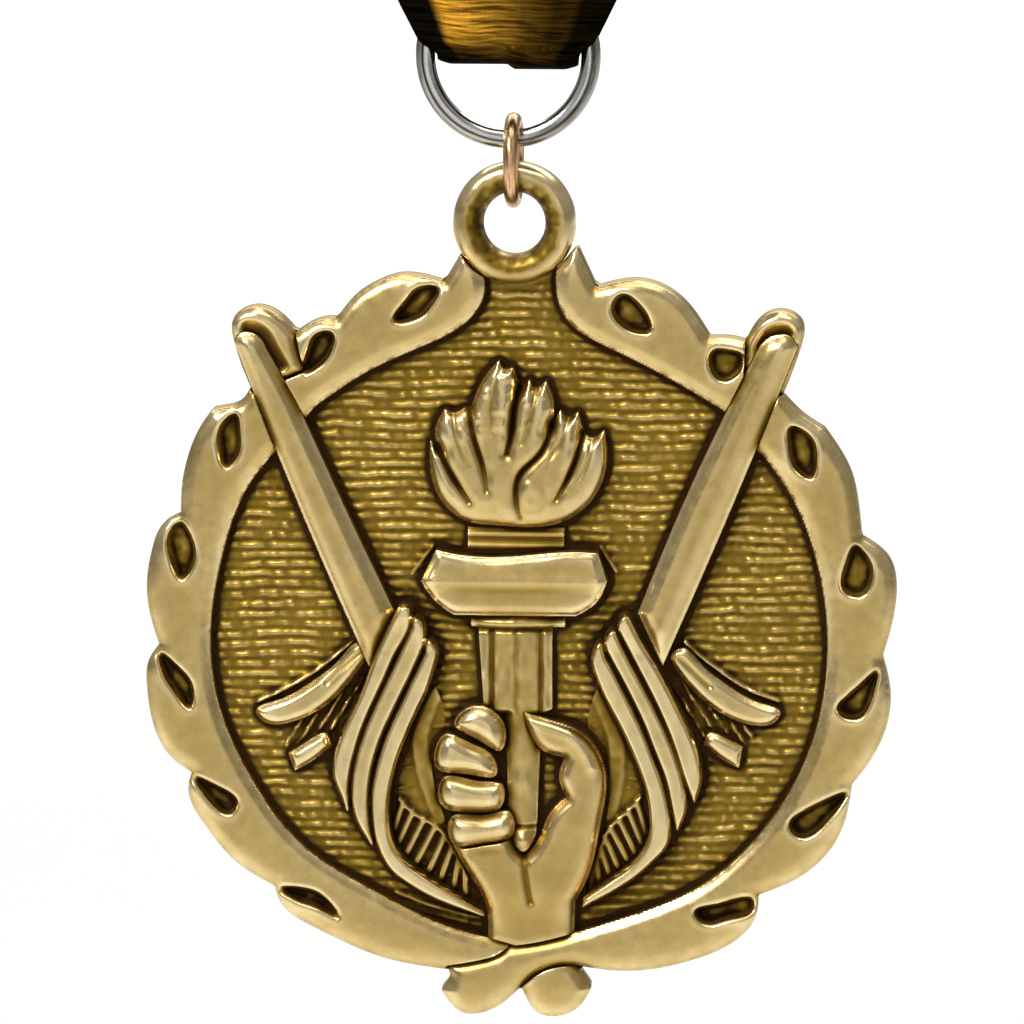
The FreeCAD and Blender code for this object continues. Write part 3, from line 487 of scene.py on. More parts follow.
def ladder(side):
    rails = {"left": [(-10.3, -16.2), (-8.8, -17.6), (-7.2, -18.5), (-5.6, -20.6), (-4.4, -22.9)],
             "right": [(10.3, -15.8), (9.0, -17.2), (7.6, -18.6), (6.8, -20.6), (5.9, -22.8)]}[side]
    panel = {"left": [(-7.4, -7.2), (-8.5, -11.0), (-7.9, -14.5), (-6.8, -17.6)],
             "right": [(6.9, -7.2), (8.2, -11.2), (8.2, -14.0), (7.6, -17.0)]}[side]
    outer = {"left": [(-10.9, -18.2), (-9.6, -21.2), (-7.2, -22.9), (-4.0, -24.6)],
             "right": [(11.0, -18.4), (9.6, -21.0), (7.6, -22.6), (5.6, -24.0)]}[side]
    a, b = spline(rails), spline(outer)

    def height(p, d):
        h = 0.12 + 0.04 * noise(p, 0.6, 61)
        gap, _ = off_line(p, panel, 3.0)
        h += 0.22 * ease((1.0 - gap) / 0.5) + 0.05 * noise(p, 1.4, 62)
        gap, _ = off_line(p, rails, 2.0)
        h = np.maximum(h, 0.62 * ease((0.3 - gap) / 0.2))
        for k in range(8):
            t = (k + 0.5) / 8
            start, stop = a[int(t * (len(a) - 1))], b[int(t * (len(b) - 1))]
            gap, _ = off_line(p, [start, stop], 1.0, smooth=False)
            h = np.maximum(h, 0.6 * ease((0.42 - gap) / 0.22))
        return h
    return height


def flame_height(p, d):
    h = 0.75 + 1.05 * (1 - np.exp(-d / 0.55))
    h += 0.3 * np.cos(p[:, 0] / 8.0 * math.pi / 2) * ease((p[:, 1] - 6.5) / 5)
    for line, depth in FLAME_GROOVES:
        gap, along = off_line(p, line, 2.0)
        fade = 0.45 + 0.55 * ease((1 - along) * 2.2)
        h -= depth * fade * (0.5 * bell(gap, 0.15) + 0.42 * bell(gap, 0.5))
    curl = blob([(-0.05, 10.3), (0.7, 11.6), (1.8, 11.4), (2.25, 10.0), (1.5, 8.9), (0.4, 9.1)])
    swirl, _ = signed(p, curl, 1.2)
    h += 0.07 * ease(swirl / 0.8) - 0.06 * bell(swirl, 0.3)
    ragged = ease((p[:, 1] - 13.5) / 3) * noise(p, 0.7, 73)
    return h + 0.05 * noise(p, 1.1, 71) + 0.10 * ragged


def collar_height(p, d):
    z = p[:, 1]
    ridge = 2.95 - 0.0035 * (p[:, 0] + 0.4) ** 2
    upper = 2.36 - 0.34 * np.sin(np.clip((z - ridge) / 2.5, 0, 1) * math.pi * 0.8)
    lower = 2.36 - 0.30 * np.clip((ridge - z) / 1.0, 0, 1)
    lower += 0.12 * np.sin(np.clip((ridge - 0.8 - z) / 2.2, 0, 1) * math.pi)
    h = np.where(z > ridge, upper, lower)
    groove = ridge - 0.75 + 0.012 * (p[:, 0] + 0.4) ** 2
    h -= 0.10 * bell(z - groove, 0.22)
    h -= 0.9 * (1 - np.sqrt(shoulder(d, 0.8, 2)))
    return h + 0.02 * noise(p, 1.5, 81)


def neck_height(p, d):
    z = p[:, 1]
    return 0.3 + 0.3 * bell(z - 6.7, 0.22, 4) + 0.3 * bell(z - 5.75, 0.2, 4)


def handle_height(p, d):
    x, z = p[:, 0], p[:, 1]
    upper = ease((z + 8.7) / 0.5)
    h = 0.6 + 0.65 * (1 - np.clip(np.abs(x + 0.35) / 3.3, 0, 1) ** 2.5) * upper
    h += (1 - upper) * 0.6 * (1 - np.clip(np.abs(x - 0.3) / 1.4, 0, 1) ** 2.2)
    for flute, depth in ((-2.35, 0.4), (-0.25, 0.14), (1.85, 0.34)):
        h -= depth * bell(x - flute, 0.2) * ease((-1.3 - z) / 0.3) * upper
    h += 0.25 * bell(z + 0.8, 0.3, 4) - 0.35 * bell(z + 1.4, 0.16)
    h += 0.45 * np.exp(-((x - 0.35) ** 2 + (z + 19.5) ** 2) / 0.6) - 0.3 * bell(z + 18.35, 0.16)
    return h + 0.06 * noise(p, (0.5, 1.2), 91)


def palm_height(p, d):
    x, z = p[:, 0], p[:, 1]
    h = 1.0 + 0.95 * shoulder(d, 1.1, 2.2)
    gap, _ = off_line(p, [(0.45, -20.9), (0.7, -23.0), (1.0, -24.7)], 1.5)
    h -= 0.3 * bell(gap, 0.28)
    h -= 0.35 * ease((-23.5 - z) / 4.0)
    h -= 0.2 * np.exp(-((x + 2.6) ** 2 / 6 + (z + 20.3) ** 2 / 0.5))
    gap, _ = off_line(p, [(1.0, -8.9), (4.6, -10.4), (6.2, -13.0)], 2.0)
    h += 0.22 * bell(gap, 0.55)
    return h + 0.03 * noise(p, 2.0, 101)


# ---------------------------------------------------------------- meshes
def to_world(x, y, z):
    return np.column_stack([x + ORIGIN[0], y + ORIGIN[1], z + ORIGIN[2]]) * MM


def placed(name, data):
    obj = bpy.data.objects.new(name, data)
    bpy.context.scene.collection.objects.link(obj)
    return obj


def make_object(name, verts, faces, material, body, **attributes):
    """A piece that rides on a body, with named values on its points for the material."""
    mesh = bpy.data.meshes.new(name)
    mesh.from_pydata(to_world(*verts.T).tolist(), [], faces)
    mesh.update()
    mesh.shade_smooth()
    mesh.materials.append(material)
    for key, values in attributes.items():
        made = mesh.attributes.new(key, "FLOAT", "POINT")
        made.data.foreach_set("value", np.asarray(values, np.float32))
    obj = placed(name, mesh)
    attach(obj, body)
    return obj


def grid_faces(rows, columns, wrap=True, base=0):
    """Quads over points numbered row by row; columns go round, and rows too where wrap is true."""
    faces = []
    for i in range(rows if wrap else rows - 1):
        for j in range(columns):
            a, b = base + i * columns, base + (i + 1) % rows * columns
            j2 = (j + 1) % columns
            faces.append((a + j, a + j2, b + j2, b + j))
    return faces


def end_caps(rows, columns, base=0):
    last = base + (rows - 1) * columns
    return [tuple(range(base, base + columns))[::-1], tuple(range(last, last + columns))]


def composite(p, loops, cutters, margin):
    """Signed distance of loops together less the cutters, the nearest outline point, their own distance."""
    d, near = signed(p, loops[0])
    for loop in loops[1:]:
        other, spot = signed(p, loop)
        pick = other > d
        d = np.where(pick, other, d)
        near[pick] = spot[pick]
    own = d.copy()
    for loop in cutters:
        other, spot = signed(p, loop)
        pick = -other - margin < d
        d = np.where(pick, -other - margin, d)
        away = (p - spot) * np.where(other > 0, -1, 1)[:, None]
        target = spot + away / np.maximum(np.hypot(*away.T), 1e-9)[:, None] * margin
        near[pick] = target[pick]
    return d, near, own


def clipped_grid(loops, step, cutters=(), margin=0.0):
    """Grid points and faces clipped to an outline, with the rim points moved onto it."""
    low = np.min([loop.min(0) for loop in loops], 0) - step * 2
    high = np.max([loop.max(0) for loop in loops], 0) + step * 2
    nx, nz = (np.ceil((high - low) / step).astype(int) + 1)
    gx, gz = np.meshgrid(np.arange(nx), np.arange(nz), indexing="ij")
    p = np.column_stack([low[0] + gx.ravel() * step, low[1] + gz.ravel() * step])
    d, near, own = composite(p, loops, cutters, margin)
    keep = d > -0.5 * step
    rim = keep & (d < 0.5 * step)
    p[rim] = near[rim]
    own[rim & (np.abs(own) < 0.6 * step)] = 0.0
    corner = (gx[:-1, :-1] * nz + gz[:-1, :-1]).ravel()
    quad = np.column_stack([corner, corner + nz, corner + nz + 1, corner + 1])
    count = keep[quad].sum(1)
    full, part = quad[count == 4], quad[count == 3]
    tri = part[keep[part]].reshape(-1, 3)
    used = np.zeros(len(p), bool)
    used[full.ravel()] = True
    used[tri.ravel()] = True
    index = np.cumsum(used) - 1
    faces = [tuple(f) for f in index[full].tolist()] + [tuple(f) for f in index[tri].tolist()]
    return p[used], np.maximum(own[used], 0), faces


def rim_edges(faces):
    """Directed edges used by one face only."""
    seen = set()
    for f in faces:
        for a, b in zip(f, f[1:] + f[:1]):
            if (b, a) in seen:
                seen.remove((b, a))
            else:
                seen.add((a, b))
    return sorted(seen)


RELIEF = []


def softened(h, faces, times):
    """Creases rounded a little, the way they come out of a mould."""
    edges = np.array([(a, b) for f in faces for a, b in zip(f, f[1:] + f[:1])])
    a, b = np.concatenate([edges, edges[:, ::-1]]).T
    weight = np.bincount(a, minlength=len(h))
    for _ in range(times):
        h = 0.5 * h + 0.5 * np.bincount(a, h[b], len(h)) / weight
    return h


def relief(name, loops, height, step=0.13, cutters=(), margin=0.06, back=False, tint=0.0, soft=5, nodes=None):
    """One raised feature with a shaped front, for the CAD node of its own name unless others are given."""
    p, d, faces = clipped_grid(loops, step, cutters, margin)
    h = softened(height(p, d), faces, soft)
    nodes = [name] if nodes is None else nodes
    RELIEF.append((name, nodes, p, h, faces, back, tint))


MAP_LOW, MAP_STEP = np.array([-34.0, -37.0]), 0.15
MAP_SIZE = (455, 520)


def smeared(table, sigma):
    reach = int(3 * sigma / MAP_STEP) + 1
    kernel = np.exp(-0.5 * (np.arange(-reach, reach + 1) * MAP_STEP / sigma) ** 2)
    kernel /= kernel.sum()
    for axis in (0, 1):
        table = np.apply_along_axis(lambda line: np.convolve(line, kernel, "same"), axis, table)
    return table


def sample(table, p):
    q = (p - MAP_LOW) / MAP_STEP
    i = np.clip(np.floor(q).astype(int), 0, np.array(MAP_SIZE) - 2)
    f = np.clip(q - i, 0, 1)
    low = table[i[:, 0], i[:, 1]] * (1 - f[:, 0]) + table[i[:, 0] + 1, i[:, 1]] * f[:, 0]
    high = table[i[:, 0], i[:, 1] + 1] * (1 - f[:, 0]) + table[i[:, 0] + 1, i[:, 1] + 1] * f[:, 0]
    return low * (1 - f[:, 1]) + high * f[:, 1]


def cast_relief(material):
    """Makes every feature of the casting, darker where it lies below what is round it."""
    table = np.full(MAP_SIZE, -9.0)
    for name, nodes, p, h, faces, back, tint in RELIEF:
        if back:
            continue
        spot = np.round((p - MAP_LOW) / MAP_STEP).astype(int)
        np.maximum.at(table, (spot[:, 0], spot[:, 1]), h)
    for _ in range(2):
        grown = table.copy()
        for shift in ((0, 1), (1, 0), (0, -1), (-1, 0)):
            grown = np.maximum(grown, np.roll(table, shift, (0, 1)))
        table = np.where(table < -5, grown, table)
    table = np.where(table < -5, -0.6, table)
    near, wide = smeared(table, 0.28), smeared(table, 0.9)
    for name, nodes, p, h, faces, back, tint in RELIEF:
        edges = rim_edges(faces)
        rim = sorted({a for a, b in edges} | {b for a, b in edges})
        spot = {v: i for i, v in enumerate(rim)}
        n, m = len(p), len(rim)
        out = np.zeros((n, 2))
        ends = np.array(edges)
        along = p[ends[:, 1]] - p[ends[:, 0]]
        normal = np.column_stack([along[:, 1], -along[:, 0]])
        normal /= np.hypot(*normal.T)[:, None] + 1e-9
        np.add.at(out, ends[:, 0], normal)
        np.add.at(out, ends[:, 1], normal)
        rim_p, rim_h = p[rim], h[rim]
        rim_out = out[rim] / (np.hypot(*out[rim].T)[:, None] + 1e-9)
        cavity = 0.3 + tint + 0.42 * (sample(near, p) - h) / 0.3 + 0.36 * (sample(wide, p) - h)
        rows = [(p, h, np.clip(cavity, 0, 1))]
        if back:
            for low, shift in ((-0.15, 0.04), (-1.0, 0.05), (-1.75, 0.05), (-1.93, -0.03), (-2.0, -0.15)):
                rows.append((rim_p + rim_out * shift, low + 0 * rim_h, 0.35 + 0 * rim_h))
        else:
            # Walls darken towards their foot; painted light makes walls facing up lighter, painted shade the
            # others darker.
            shade = 0.35 - 0.3 * ease(rim_out[:, 1] * 1.6 - 0.4)
            for share in (0.35, 0.7, 1.0):
                level = rim_h * (1 - share) - 0.15 * share
                rows.append((rim_p + rim_out * 0.05 * share, level, 0.3 + shade * share))
        for k in range(len(rows) - 1):
            shift_a = 0 if k == 0 else n + (k - 1) * m
            shift_b = n + k * m
            for a, b in edges:
                ia, ib = (a, b) if k == 0 else (spot[a], spot[b])
                faces.append((shift_a + ib, shift_a + ia, shift_b + spot[a], shift_b + spot[b]))
        if back:
            count = sum(len(row[0]) for row in rows)
            last = n + (len(rows) - 2) * m
            inner = sorted(set(range(n)) - set(rim))
            number = {v: last + spot[v] for v in rim}
            number.update({v: count + i for i, v in enumerate(inner)})
            base = [f for f in faces if max(f) < n]
            faces += [tuple(number[v] for v in f[::-1]) for f in base]
            skin = p[inner]
            rows.append((skin, -PLATE + 0.03 * noise(skin, 4.0, 7), 0.22 + 0.03 * noise(skin, 3.0, 9)))
        flat = np.vstack([row[0] for row in rows])
        level = np.concatenate([row[1] for row in rows])
        obj = make_object(name, np.column_stack([flat[:, 0], -level, flat[:, 1]]), faces, material, "medal",
                          cavity=np.concatenate([row[2] for row in rows]))
        if nodes:
            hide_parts(*nodes)


def tube(name, path, radius, sides, up, material, body):
    """Round bar along an open path of millimetre points, with closed ends."""
    n = len(path)
    tangent = np.roll(path, -1, 0) - np.roll(path, 1, 0)
    tangent[0], tangent[-1] = path[1] - path[0], path[-1] - path[-2]
    tangent /= np.linalg.norm(tangent, axis=1)[:, None]
    side = np.cross(tangent, np.array(up, float))
    side /= np.linalg.norm(side, axis=1)[:, None]
    up = np.cross(side, tangent)
    angle = np.linspace(0, 2 * math.pi, sides, endpoint=False)
    ring = np.cos(angle)[None, :, None] * side[:, None] + np.sin(angle)[None, :, None] * up[:, None]
    scale = np.ones(n)
    scale[[0, -1]] = 0.86
    v = path[:, None] + ring * (radius * scale)[:, None, None]
    length = np.concatenate([[0], np.cumsum(np.linalg.norm(np.diff(path, axis=0), axis=1))])
    faces = grid_faces(n, sides, False) + end_caps(n, sides)
    return make_object(name, v.reshape(-1, 3), faces, material, body,
                       around_x=np.tile(np.cos(angle), n), around_y=np.tile(np.sin(angle), n),
                       length=np.repeat(length, sides),
                       end=np.repeat(np.exp(-np.minimum(length, length[-1] - length) / 0.9), sides))


# ---------------------------------------------------------------- materials
def new_material(name):
    material = bpy.data.materials.new(name)
    material.use_nodes = True
    return material, material.node_tree, material.node_tree.nodes["Principled BSDF"]


def feed(target, inputs):
    """Links the outputs given to a node's inputs, and sets plain values on them."""
    for key, value in inputs.items():
        socket = target.inputs[key]
        if isinstance(value, bpy.types.NodeSocket):
            target.id_data.links.new(value, socket)
        else:
            socket.default_value = (*value, 1) if socket.type == "RGBA" else value


def node(tree, kind, inputs, **settings):
    made = tree.nodes.new("ShaderNode" + kind)
    for key, value in settings.items():
        setattr(made, key, value)
    feed(made, inputs)
    return made


def ramp(tree, source, stops, smooth=False):
    made = node(tree, "ValToRGB", {"Fac": source})
    elements = made.color_ramp.elements
    while len(elements) < len(stops):
        elements.new(0.5)
    for element, (at, colour) in zip(elements, stops):
        element.position = at
        element.color = (*colour, 1) if isinstance(colour, tuple) else (colour, colour, colour, 1)
    if smooth:
        made.color_ramp.interpolation = "EASE"
    return made.outputs["Color"]


def calc(tree, operation, *values, clamp=False):
    return node(tree, "Math", dict(enumerate(values)), operation=operation, use_clamp=clamp).outputs[0]


def spread(tree, source, amount):
    return calc(tree, "MULTIPLY", calc(tree, "SUBTRACT", source, 0.5), amount)


def mixed(tree, factor, a, b, blend="MIX"):
    return node(tree, "Mix", {0: factor, 6: a, 7: b}, data_type="RGBA", blend_type=blend).outputs[2]


def coordinates(tree, stretch=(1, 1, 1)):
    place = node(tree, "TexCoord", {}).outputs["Object"]
    return node(tree, "Mapping", {"Vector": place, "Scale": stretch}).outputs["Vector"]


def grain(tree, scale, detail=3.0, rough=0.5, vector=None):
    made = node(tree, "TexNoise", {"Scale": scale, "Detail": detail, "Roughness": rough,
                                   "Vector": vector or coordinates(tree)})
    return made.outputs["Fac"]


def attribute(tree, name):
    return node(tree, "Attribute", {}, attribute_name=name).outputs["Fac"]


def joined(tree, *parts):
    """Vector of attributes, each times its own scale."""
    made = node(tree, "CombineXYZ", {})
    for i, (name, scale) in enumerate(parts):
        feed(made, {i: calc(tree, "MULTIPLY", attribute(tree, name), scale)})
    return made.outputs[0]


def bump(tree, height, strength, distance):
    made = node(tree, "Bump", {"Strength": strength, "Distance": distance, "Height": height})
    return made.outputs["Normal"]


def antique_gold():
    """Gold plate, dark where its patina and painted shade value is high."""
    material, tree, shader = new_material("antique_gold")
    fine = grain(tree, 900, 4, 0.6)
    cloud = grain(tree, 130, 3, 0.55)
    patina_and_shade_level = calc(tree, "ADD", attribute(tree, "cavity"), spread(tree, cloud, 0.17), clamp=True)
    tones = ramp(tree, patina_and_shade_level, [(0, (0.78, 0.62, 0.32)), (0.16, (0.60, 0.44, 0.18)),
                              (0.32, (0.49, 0.345, 0.115)),
                              (0.5, (0.25, 0.158, 0.020)), (0.8, (0.035, 0.016, 0.003))])
    rough = ramp(tree, patina_and_shade_level, [(0, 0.22), (0.3, 0.33), (0.5, 0.50), (0.8, 0.60)])
    feed(shader, {
        "Base Color": mixed(tree, 1.0, tones, ramp(tree, fine, [(0.35, 0.86), (0.65, 1)]), "MULTIPLY"),
        "Metallic": ramp(tree, patina_and_shade_level, [(0.5, 1), (0.85, 0.8)]),
        "Specular IOR Level": 0.2,
        "Roughness": calc(tree, "ADD", rough, spread(tree, fine, 0.2)),
        "Normal": bump(tree, fine, 0.15, 0.00004),
    })
    return material


def wire(name, bright, dark, end_colour, rough, lines_round, line_length, worn):
    """Drawn wire: marks along it, a painted dark band along one side standing in for reflection and shade, a
    tint where the ends were heated.
    """
    material, tree, shader = new_material(name)
    lines = grain(tree, 1.0, 4, 0.65, joined(tree, ("around_x", lines_round), ("around_y", lines_round),
                                             ("length", 1 / line_length)))
    fine = grain(tree, 1500, 3, 0.6)
    tones = ramp(tree, lines, [(0.36, dark), (0.55, bright)], True)
    # Painted dark band along one side of the wire, standing in for its reflection and shade.
    turn = calc(tree, "ADD", calc(tree, "MULTIPLY", attribute(tree, "around_x"), -0.5),
                calc(tree, "ADD", calc(tree, "MULTIPLY", lines, 0.3), 0.35))
    tones = mixed(tree, 1.0, tones, ramp(tree, turn, worn), "MULTIPLY")
    tones = mixed(tree, calc(tree, "MULTIPLY", attribute(tree, "end"), 0.8), tones, end_colour)
    feed(shader, {
        "Base Color": mixed(tree, 1.0, tones, ramp(tree, fine, [(0.35, 0.88), (0.65, 1)]), "MULTIPLY"),
        "Metallic": 1.0,
        "Roughness": calc(tree, "ADD", rough, spread(tree, lines, 0.3)),
        "Normal": bump(tree, calc(tree, "ADD", lines, calc(tree, "MULTIPLY", fine, 0.3)), 0.2, 0.00005),
    })
    return material


def woven(name, colours, pitch, rough, sheen=0.0, contrast=0.5):
    """Ribbon weave: colour stripes across, fine weft ribs along, and painted shade making it darker where it
    is gathered.
    """
    material, tree, shader = new_material(name)
    across, along = attribute(tree, "across"), attribute(tree, "along")
    stripes = ramp(tree, calc(tree, "ABSOLUTE", across), colours)
    # Painted shade: the stripes go near black where the ribbon's shade value is high.
    stripes = mixed(tree, attribute(tree, "worn"), stripes, (0.006, 0.004, 0.001))
    rib = calc(tree, "SINE", calc(tree, "MULTIPLY", along, 2 * math.pi / pitch))
    slant = calc(tree, "ADD", calc(tree, "MULTIPLY", along, 2.6), calc(tree, "MULTIPLY", across, 1.3))
    place = node(tree, "CombineXYZ", {0: calc(tree, "MULTIPLY", across, 1.5), 1: slant})
    slub = grain(tree, 1.0, 4, 0.66, place.outputs[0])
    warp = grain(tree, 1.0, 2, 0.5, coordinates(tree, (5200, 900, 900)))
    shade = mixed(tree, 0.5, ramp(tree, slub, [(0.40, 1 - contrast), (0.56, 1)]),
                  ramp(tree, warp, [(0.3, 0.7), (0.7, 1)]), "MULTIPLY")
    height = calc(tree, "ADD", calc(tree, "MULTIPLY", rib, 0.5), calc(tree, "MULTIPLY", warp, 0.6))
    feed(shader, {
        "Base Color": mixed(tree, 1.0, stripes, shade, "MULTIPLY"),
        "Roughness": ramp(tree, slub, [(0.3, rough + 0.1), (0.7, rough)]),
        "Normal": bump(tree, height, 0.5, 0.00006),
        "Anisotropic": 0.6,
        "Metallic": sheen,
        "Specular IOR Level": 0.15,
        "Specular Tint": (0.25, 0.25, 0.25),
    })
    return material


gold = antique_gold()
# Each wire's last list of stops paints a dark band along one side, standing in for reflection and shade.
nickel = wire("nickel_wire", (0.68, 0.67, 0.63), (0.22, 0.21, 0.19), (0.40, 0.38, 0.33), 0.16, 1.5, 9.0,
              [(0, 1), (0.50, 1), (0.58, (0.12, 0.12, 0.15)), (0.65, (0.12, 0.12, 0.15)),
               (0.72, (0.75, 0.72, 0.58)), (0.9, 0.6)])
copper = wire("copper_wire", (0.80, 0.50, 0.27), (0.30, 0.15, 0.07), (0.66, 0.24, 0.11), 0.27, 2.6, 2.4,
              [(0.0, 0.9), (0.45, 1.0), (0.62, 0.62), (0.8, 1.0)])
satin = woven("ribbon_satin", [(0, (0.95, 0.48, 0.045)), (0.64, (0.88, 0.41, 0.035)),
                               (0.72, (0.006, 0.005, 0.005)), (1, (0.003, 0.003, 0.003))],
              0.42, 0.32, 0.92, 0.80)
dark_band = woven("band_weave", [(0.0, (0.03, 0.026, 0.022)), (1.0, (0.016, 0.013, 0.012))], 0.5, 0.6)
thread = woven("stitch_thread", [(0.0, (0.30, 0.17, 0.035)), (1.0, (0.22, 0.12, 0.02))], 0.3, 0.6)

# ---------------------------------------------------------------- the casting
SOLID = [LEFT_BRANCH, RIGHT_BRANCH, FIELD, KNOBS["left"], KNOBS["right"]]
HIGH = [*SHAFTS.values(), *BANDS["left"], *BANDS["right"], *KNOBS.values(), *TOES.values()]
relief("cast_plate", SOLID, lambda p, d: np.full(len(p), -0.08), 0.36, [LOOP_EDGE], -0.1, back=True,
       nodes=["medal_blank"])
relief("cast_woven_ground", [FIELD], ground, 0.14,
       [LEFT_BRANCH, RIGHT_BRANCH, LOOP_EDGE, FLAME, COLLAR, HANDLE, PALM, *HIGH, *FINGERS], -0.03,
       tint=0.21, soft=1, nodes=[])
for side, branch_loop, inner_lines, parts, over in (
        ("left", LEFT_BRANCH, [LEFT_INNER, LEFT_TOP_INNER], ["upper", "lower", "stem"], [RIGHT_BRANCH]),
        ("right", RIGHT_BRANCH, [RIGHT_INNER, RIGHT_TOP_INNER], ["upper", "lower"], [])):
    relief("wreath_" + side, [branch_loop], branch(inner_lines, HOLLOWS[side], WREATH), 0.14,
           [LOOP_EDGE, KNOBS[side], SHAFTS[side], *over],
           nodes=["wreath_%s_%s" % (side, part) for part in parts])
    relief("stick_knob_" + side, [KNOBS[side]], knob, 0.1, [SHAFTS[side]])
    relief("stick_shaft_" + side, [SHAFTS[side]], shaft(SHAFT_AXES[side]), 0.12, [BAND_AREAS[side]], soft=14)
    relief("stick_bands_" + side, [grown(loop, 0.07) for loop in BANDS[side]], bands, 0.085, [PALM, *FINGERS],
           tint=-0.12, soft=2)
    for part in ("upper", "lower"):
        relief("stick_toe_%s_%s" % (part, side), [TOES[part + "_" + side]], toe, 0.1,
               [SHAFTS[side], BAND_AREAS[side]])
    relief("stick_ladder_" + side, [LADDERS[side]], ladder(side), 0.08,
           [*BANDS[side], PALM, HANDLE, *FINGERS, LEFT_BRANCH, RIGHT_BRANCH], tint=0.1)
relief("torch_flame", [FLAME], flame_height, 0.075, tint=-0.06, soft=3)
relief("torch_neck", [NECK], neck_height, 0.1, [COLLAR, FLAME], tint=0.1)
relief("torch_collar", [COLLAR], collar_height, 0.1, soft=14)
relief("torch_handle", [HANDLE], handle_height, 0.08, [COLLAR, PALM, *FINGERS], tint=0.05)
relief("hand_palm", [PALM], palm_height, 0.09, [RIGHT_BRANCH, LEFT_BRANCH, *FINGERS], tint=0.03)
for i, loop in enumerate(FINGERS):
    relief("hand_finger_%d" % (i + 1), [loop], finger_height, 0.08, FINGERS[i + 1:], tint=-0.08)
cast_relief(gold)

turns, sides, reach, deep = 144, 48, 3.9, 2.0
a, b = (q.ravel() for q in np.meshgrid(np.linspace(0, 2 * math.pi, turns, endpoint=False),
                                       np.linspace(0, 2 * math.pi, sides, endpoint=False), indexing="ij"))
out, up = np.cos(b), np.sin(b)
fat = np.where(out > 0, (np.abs(out) ** 2.5 + np.abs(up) ** 2.5) ** (-1 / 2.5), 1.0)
wobble = 0.035 * noise(np.column_stack([np.cos(a) * reach, np.sin(a) * reach + b]), 1.1, 17)
r = reach + 1.3 * out * fat * np.where(out > 0, 1 + 0.5 * wobble, 1)
spots = np.column_stack([a * reach, b * 1.5])
# Darker and mottled on the hole's inner face; painted shade makes the bottom of the loop darker and a painted
# highlight the upper outer face lighter.
inner = 0.08 + ease((0.4 - out) / 0.6) * (0.52 + 0.16 * noise(spots, 0.45, 19))
inner = inner + 0.10 * noise(spots, 0.9, 18)
inner += 0.30 * np.clip((-(r * np.sin(a)) - 3.6) / 1.2, 0, 1) - 0.10 * np.clip(out * np.sin(a), 0, 1)
v = np.column_stack([LOOP_AT[0] + r * np.cos(a), deep * up * fat * (1 - np.abs(wobble)),
                     LOOP_AT[1] + r * np.sin(a)])
loop_ring = make_object("cast_hanger_loop", v, [f[::-1] for f in grid_faces(turns, sides)], gold, "medal",
                        cavity=np.clip(inner, 0, 1))
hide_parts("hanger_loop")

# ---------------------------------------------------------------- rings
def middle(node_name):
    low, high = (np.array(corner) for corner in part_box(node_name))
    return (low + high) / 2 / MM - ORIGIN


def wire_turn(gap, steps, joint):
    """Cosine, sine and zero round a nearly full turn, starting at the joint."""
    t = np.linspace(gap, 2 * math.pi - gap, steps) + math.radians(joint)
    return np.cos(t), np.sin(t), 0 * t


JUMP_RADIUS, JUMP_WIRE = 3.375, 1.3
RING_RADIUS, RING_WIRE = 6.975, 1.65
RING_AT = middle("ribbon_ring")
c, n, o = wire_turn(0.006, 150, 62)
jump_path = np.column_stack([o, JUMP_RADIUS * c, JUMP_RADIUS * n]) + middle("jump_ring")
jump = tube("jump_ring_wire", jump_path, JUMP_WIRE / 2, 32, (1, 0, 0), copper, "jump_ring")
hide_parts("jump_ring")
c, n, o = wire_turn(0.003, 220, 104)
ring_path = np.column_stack([RING_RADIUS * c, o, RING_RADIUS * n]) + RING_AT
ring = tube("ribbon_ring_wire", ring_path, RING_WIRE / 2, 36, (0, 1, 0), nickel, "ribbon_ring")
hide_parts("ribbon_ring")

# ---------------------------------------------------------------- ribbon
THICK, WIDE = 0.34, 11.0
FOLD_R, SPREAD, RUNS, PITCH, PAIR = 1.45, 2.7, 8, 1.25, 0.29
EYE_HALF, EYE_HIGH, HANK = 1.83, 5.6, 45.5
FOLD_Z = RING_AT[2] - 0.45 + FOLD_R
LEG_TOP = RING_AT[2] + 7.8 + 6.0
HANK_TOP = LEG_TOP + HANK


def straight(a, b, step):
    n = max(2, int(math.dist(a, b) / step) + 1)
    return [tuple(np.array(a) + (np.array(b) - a) * k / n) for k in range(n)]


def turned(centre, r, start, stop, n=11):
    turn = np.linspace(start, stop, n)[:-1]
    return [(centre[0] + r * math.cos(q), centre[1] + r * math.sin(q)) for q in turn]


def leg(side):
    """One leg from the fold to the far end of the hank, in the YZ plane."""
    knee = RING_AT[2] + 6.2
    corners = [(side * FOLD_R, FOLD_Z), (side * SPREAD, knee), (side * SPREAD, knee + 1.8),
               (side * PAIR, LEG_TOP)]
    out = []
    for a, b in zip(corners, corners[1:]):
        out += straight(a, b, 0.4)
    for run in range(RUNS):
        turn = 1 if run % 2 == 0 else -1
        y = run * PITCH + side * PAIR * turn
        start, stop = (LEG_TOP, HANK_TOP) if turn == 1 else (HANK_TOP, LEG_TOP)
        out += straight((y, start), (y, stop), 1.3)
        mid = (run + 0.5) * PITCH
        r = mid - y
        if run == 0:
            wide = EYE_HALF - side * PAIR
            top = stop + EYE_HIGH - EYE_HALF
            out += straight((y, stop), (mid - wide, top), 0.4)
            out += turned((mid, top), wide, math.pi, 0, 17)
            out += straight((mid + wide, top), (mid + r, stop), 0.4)
        elif run < RUNS - 1:
            out += turned((mid, stop), r, math.pi, 0 if turn == 1 else 2 * math.pi)
    return out


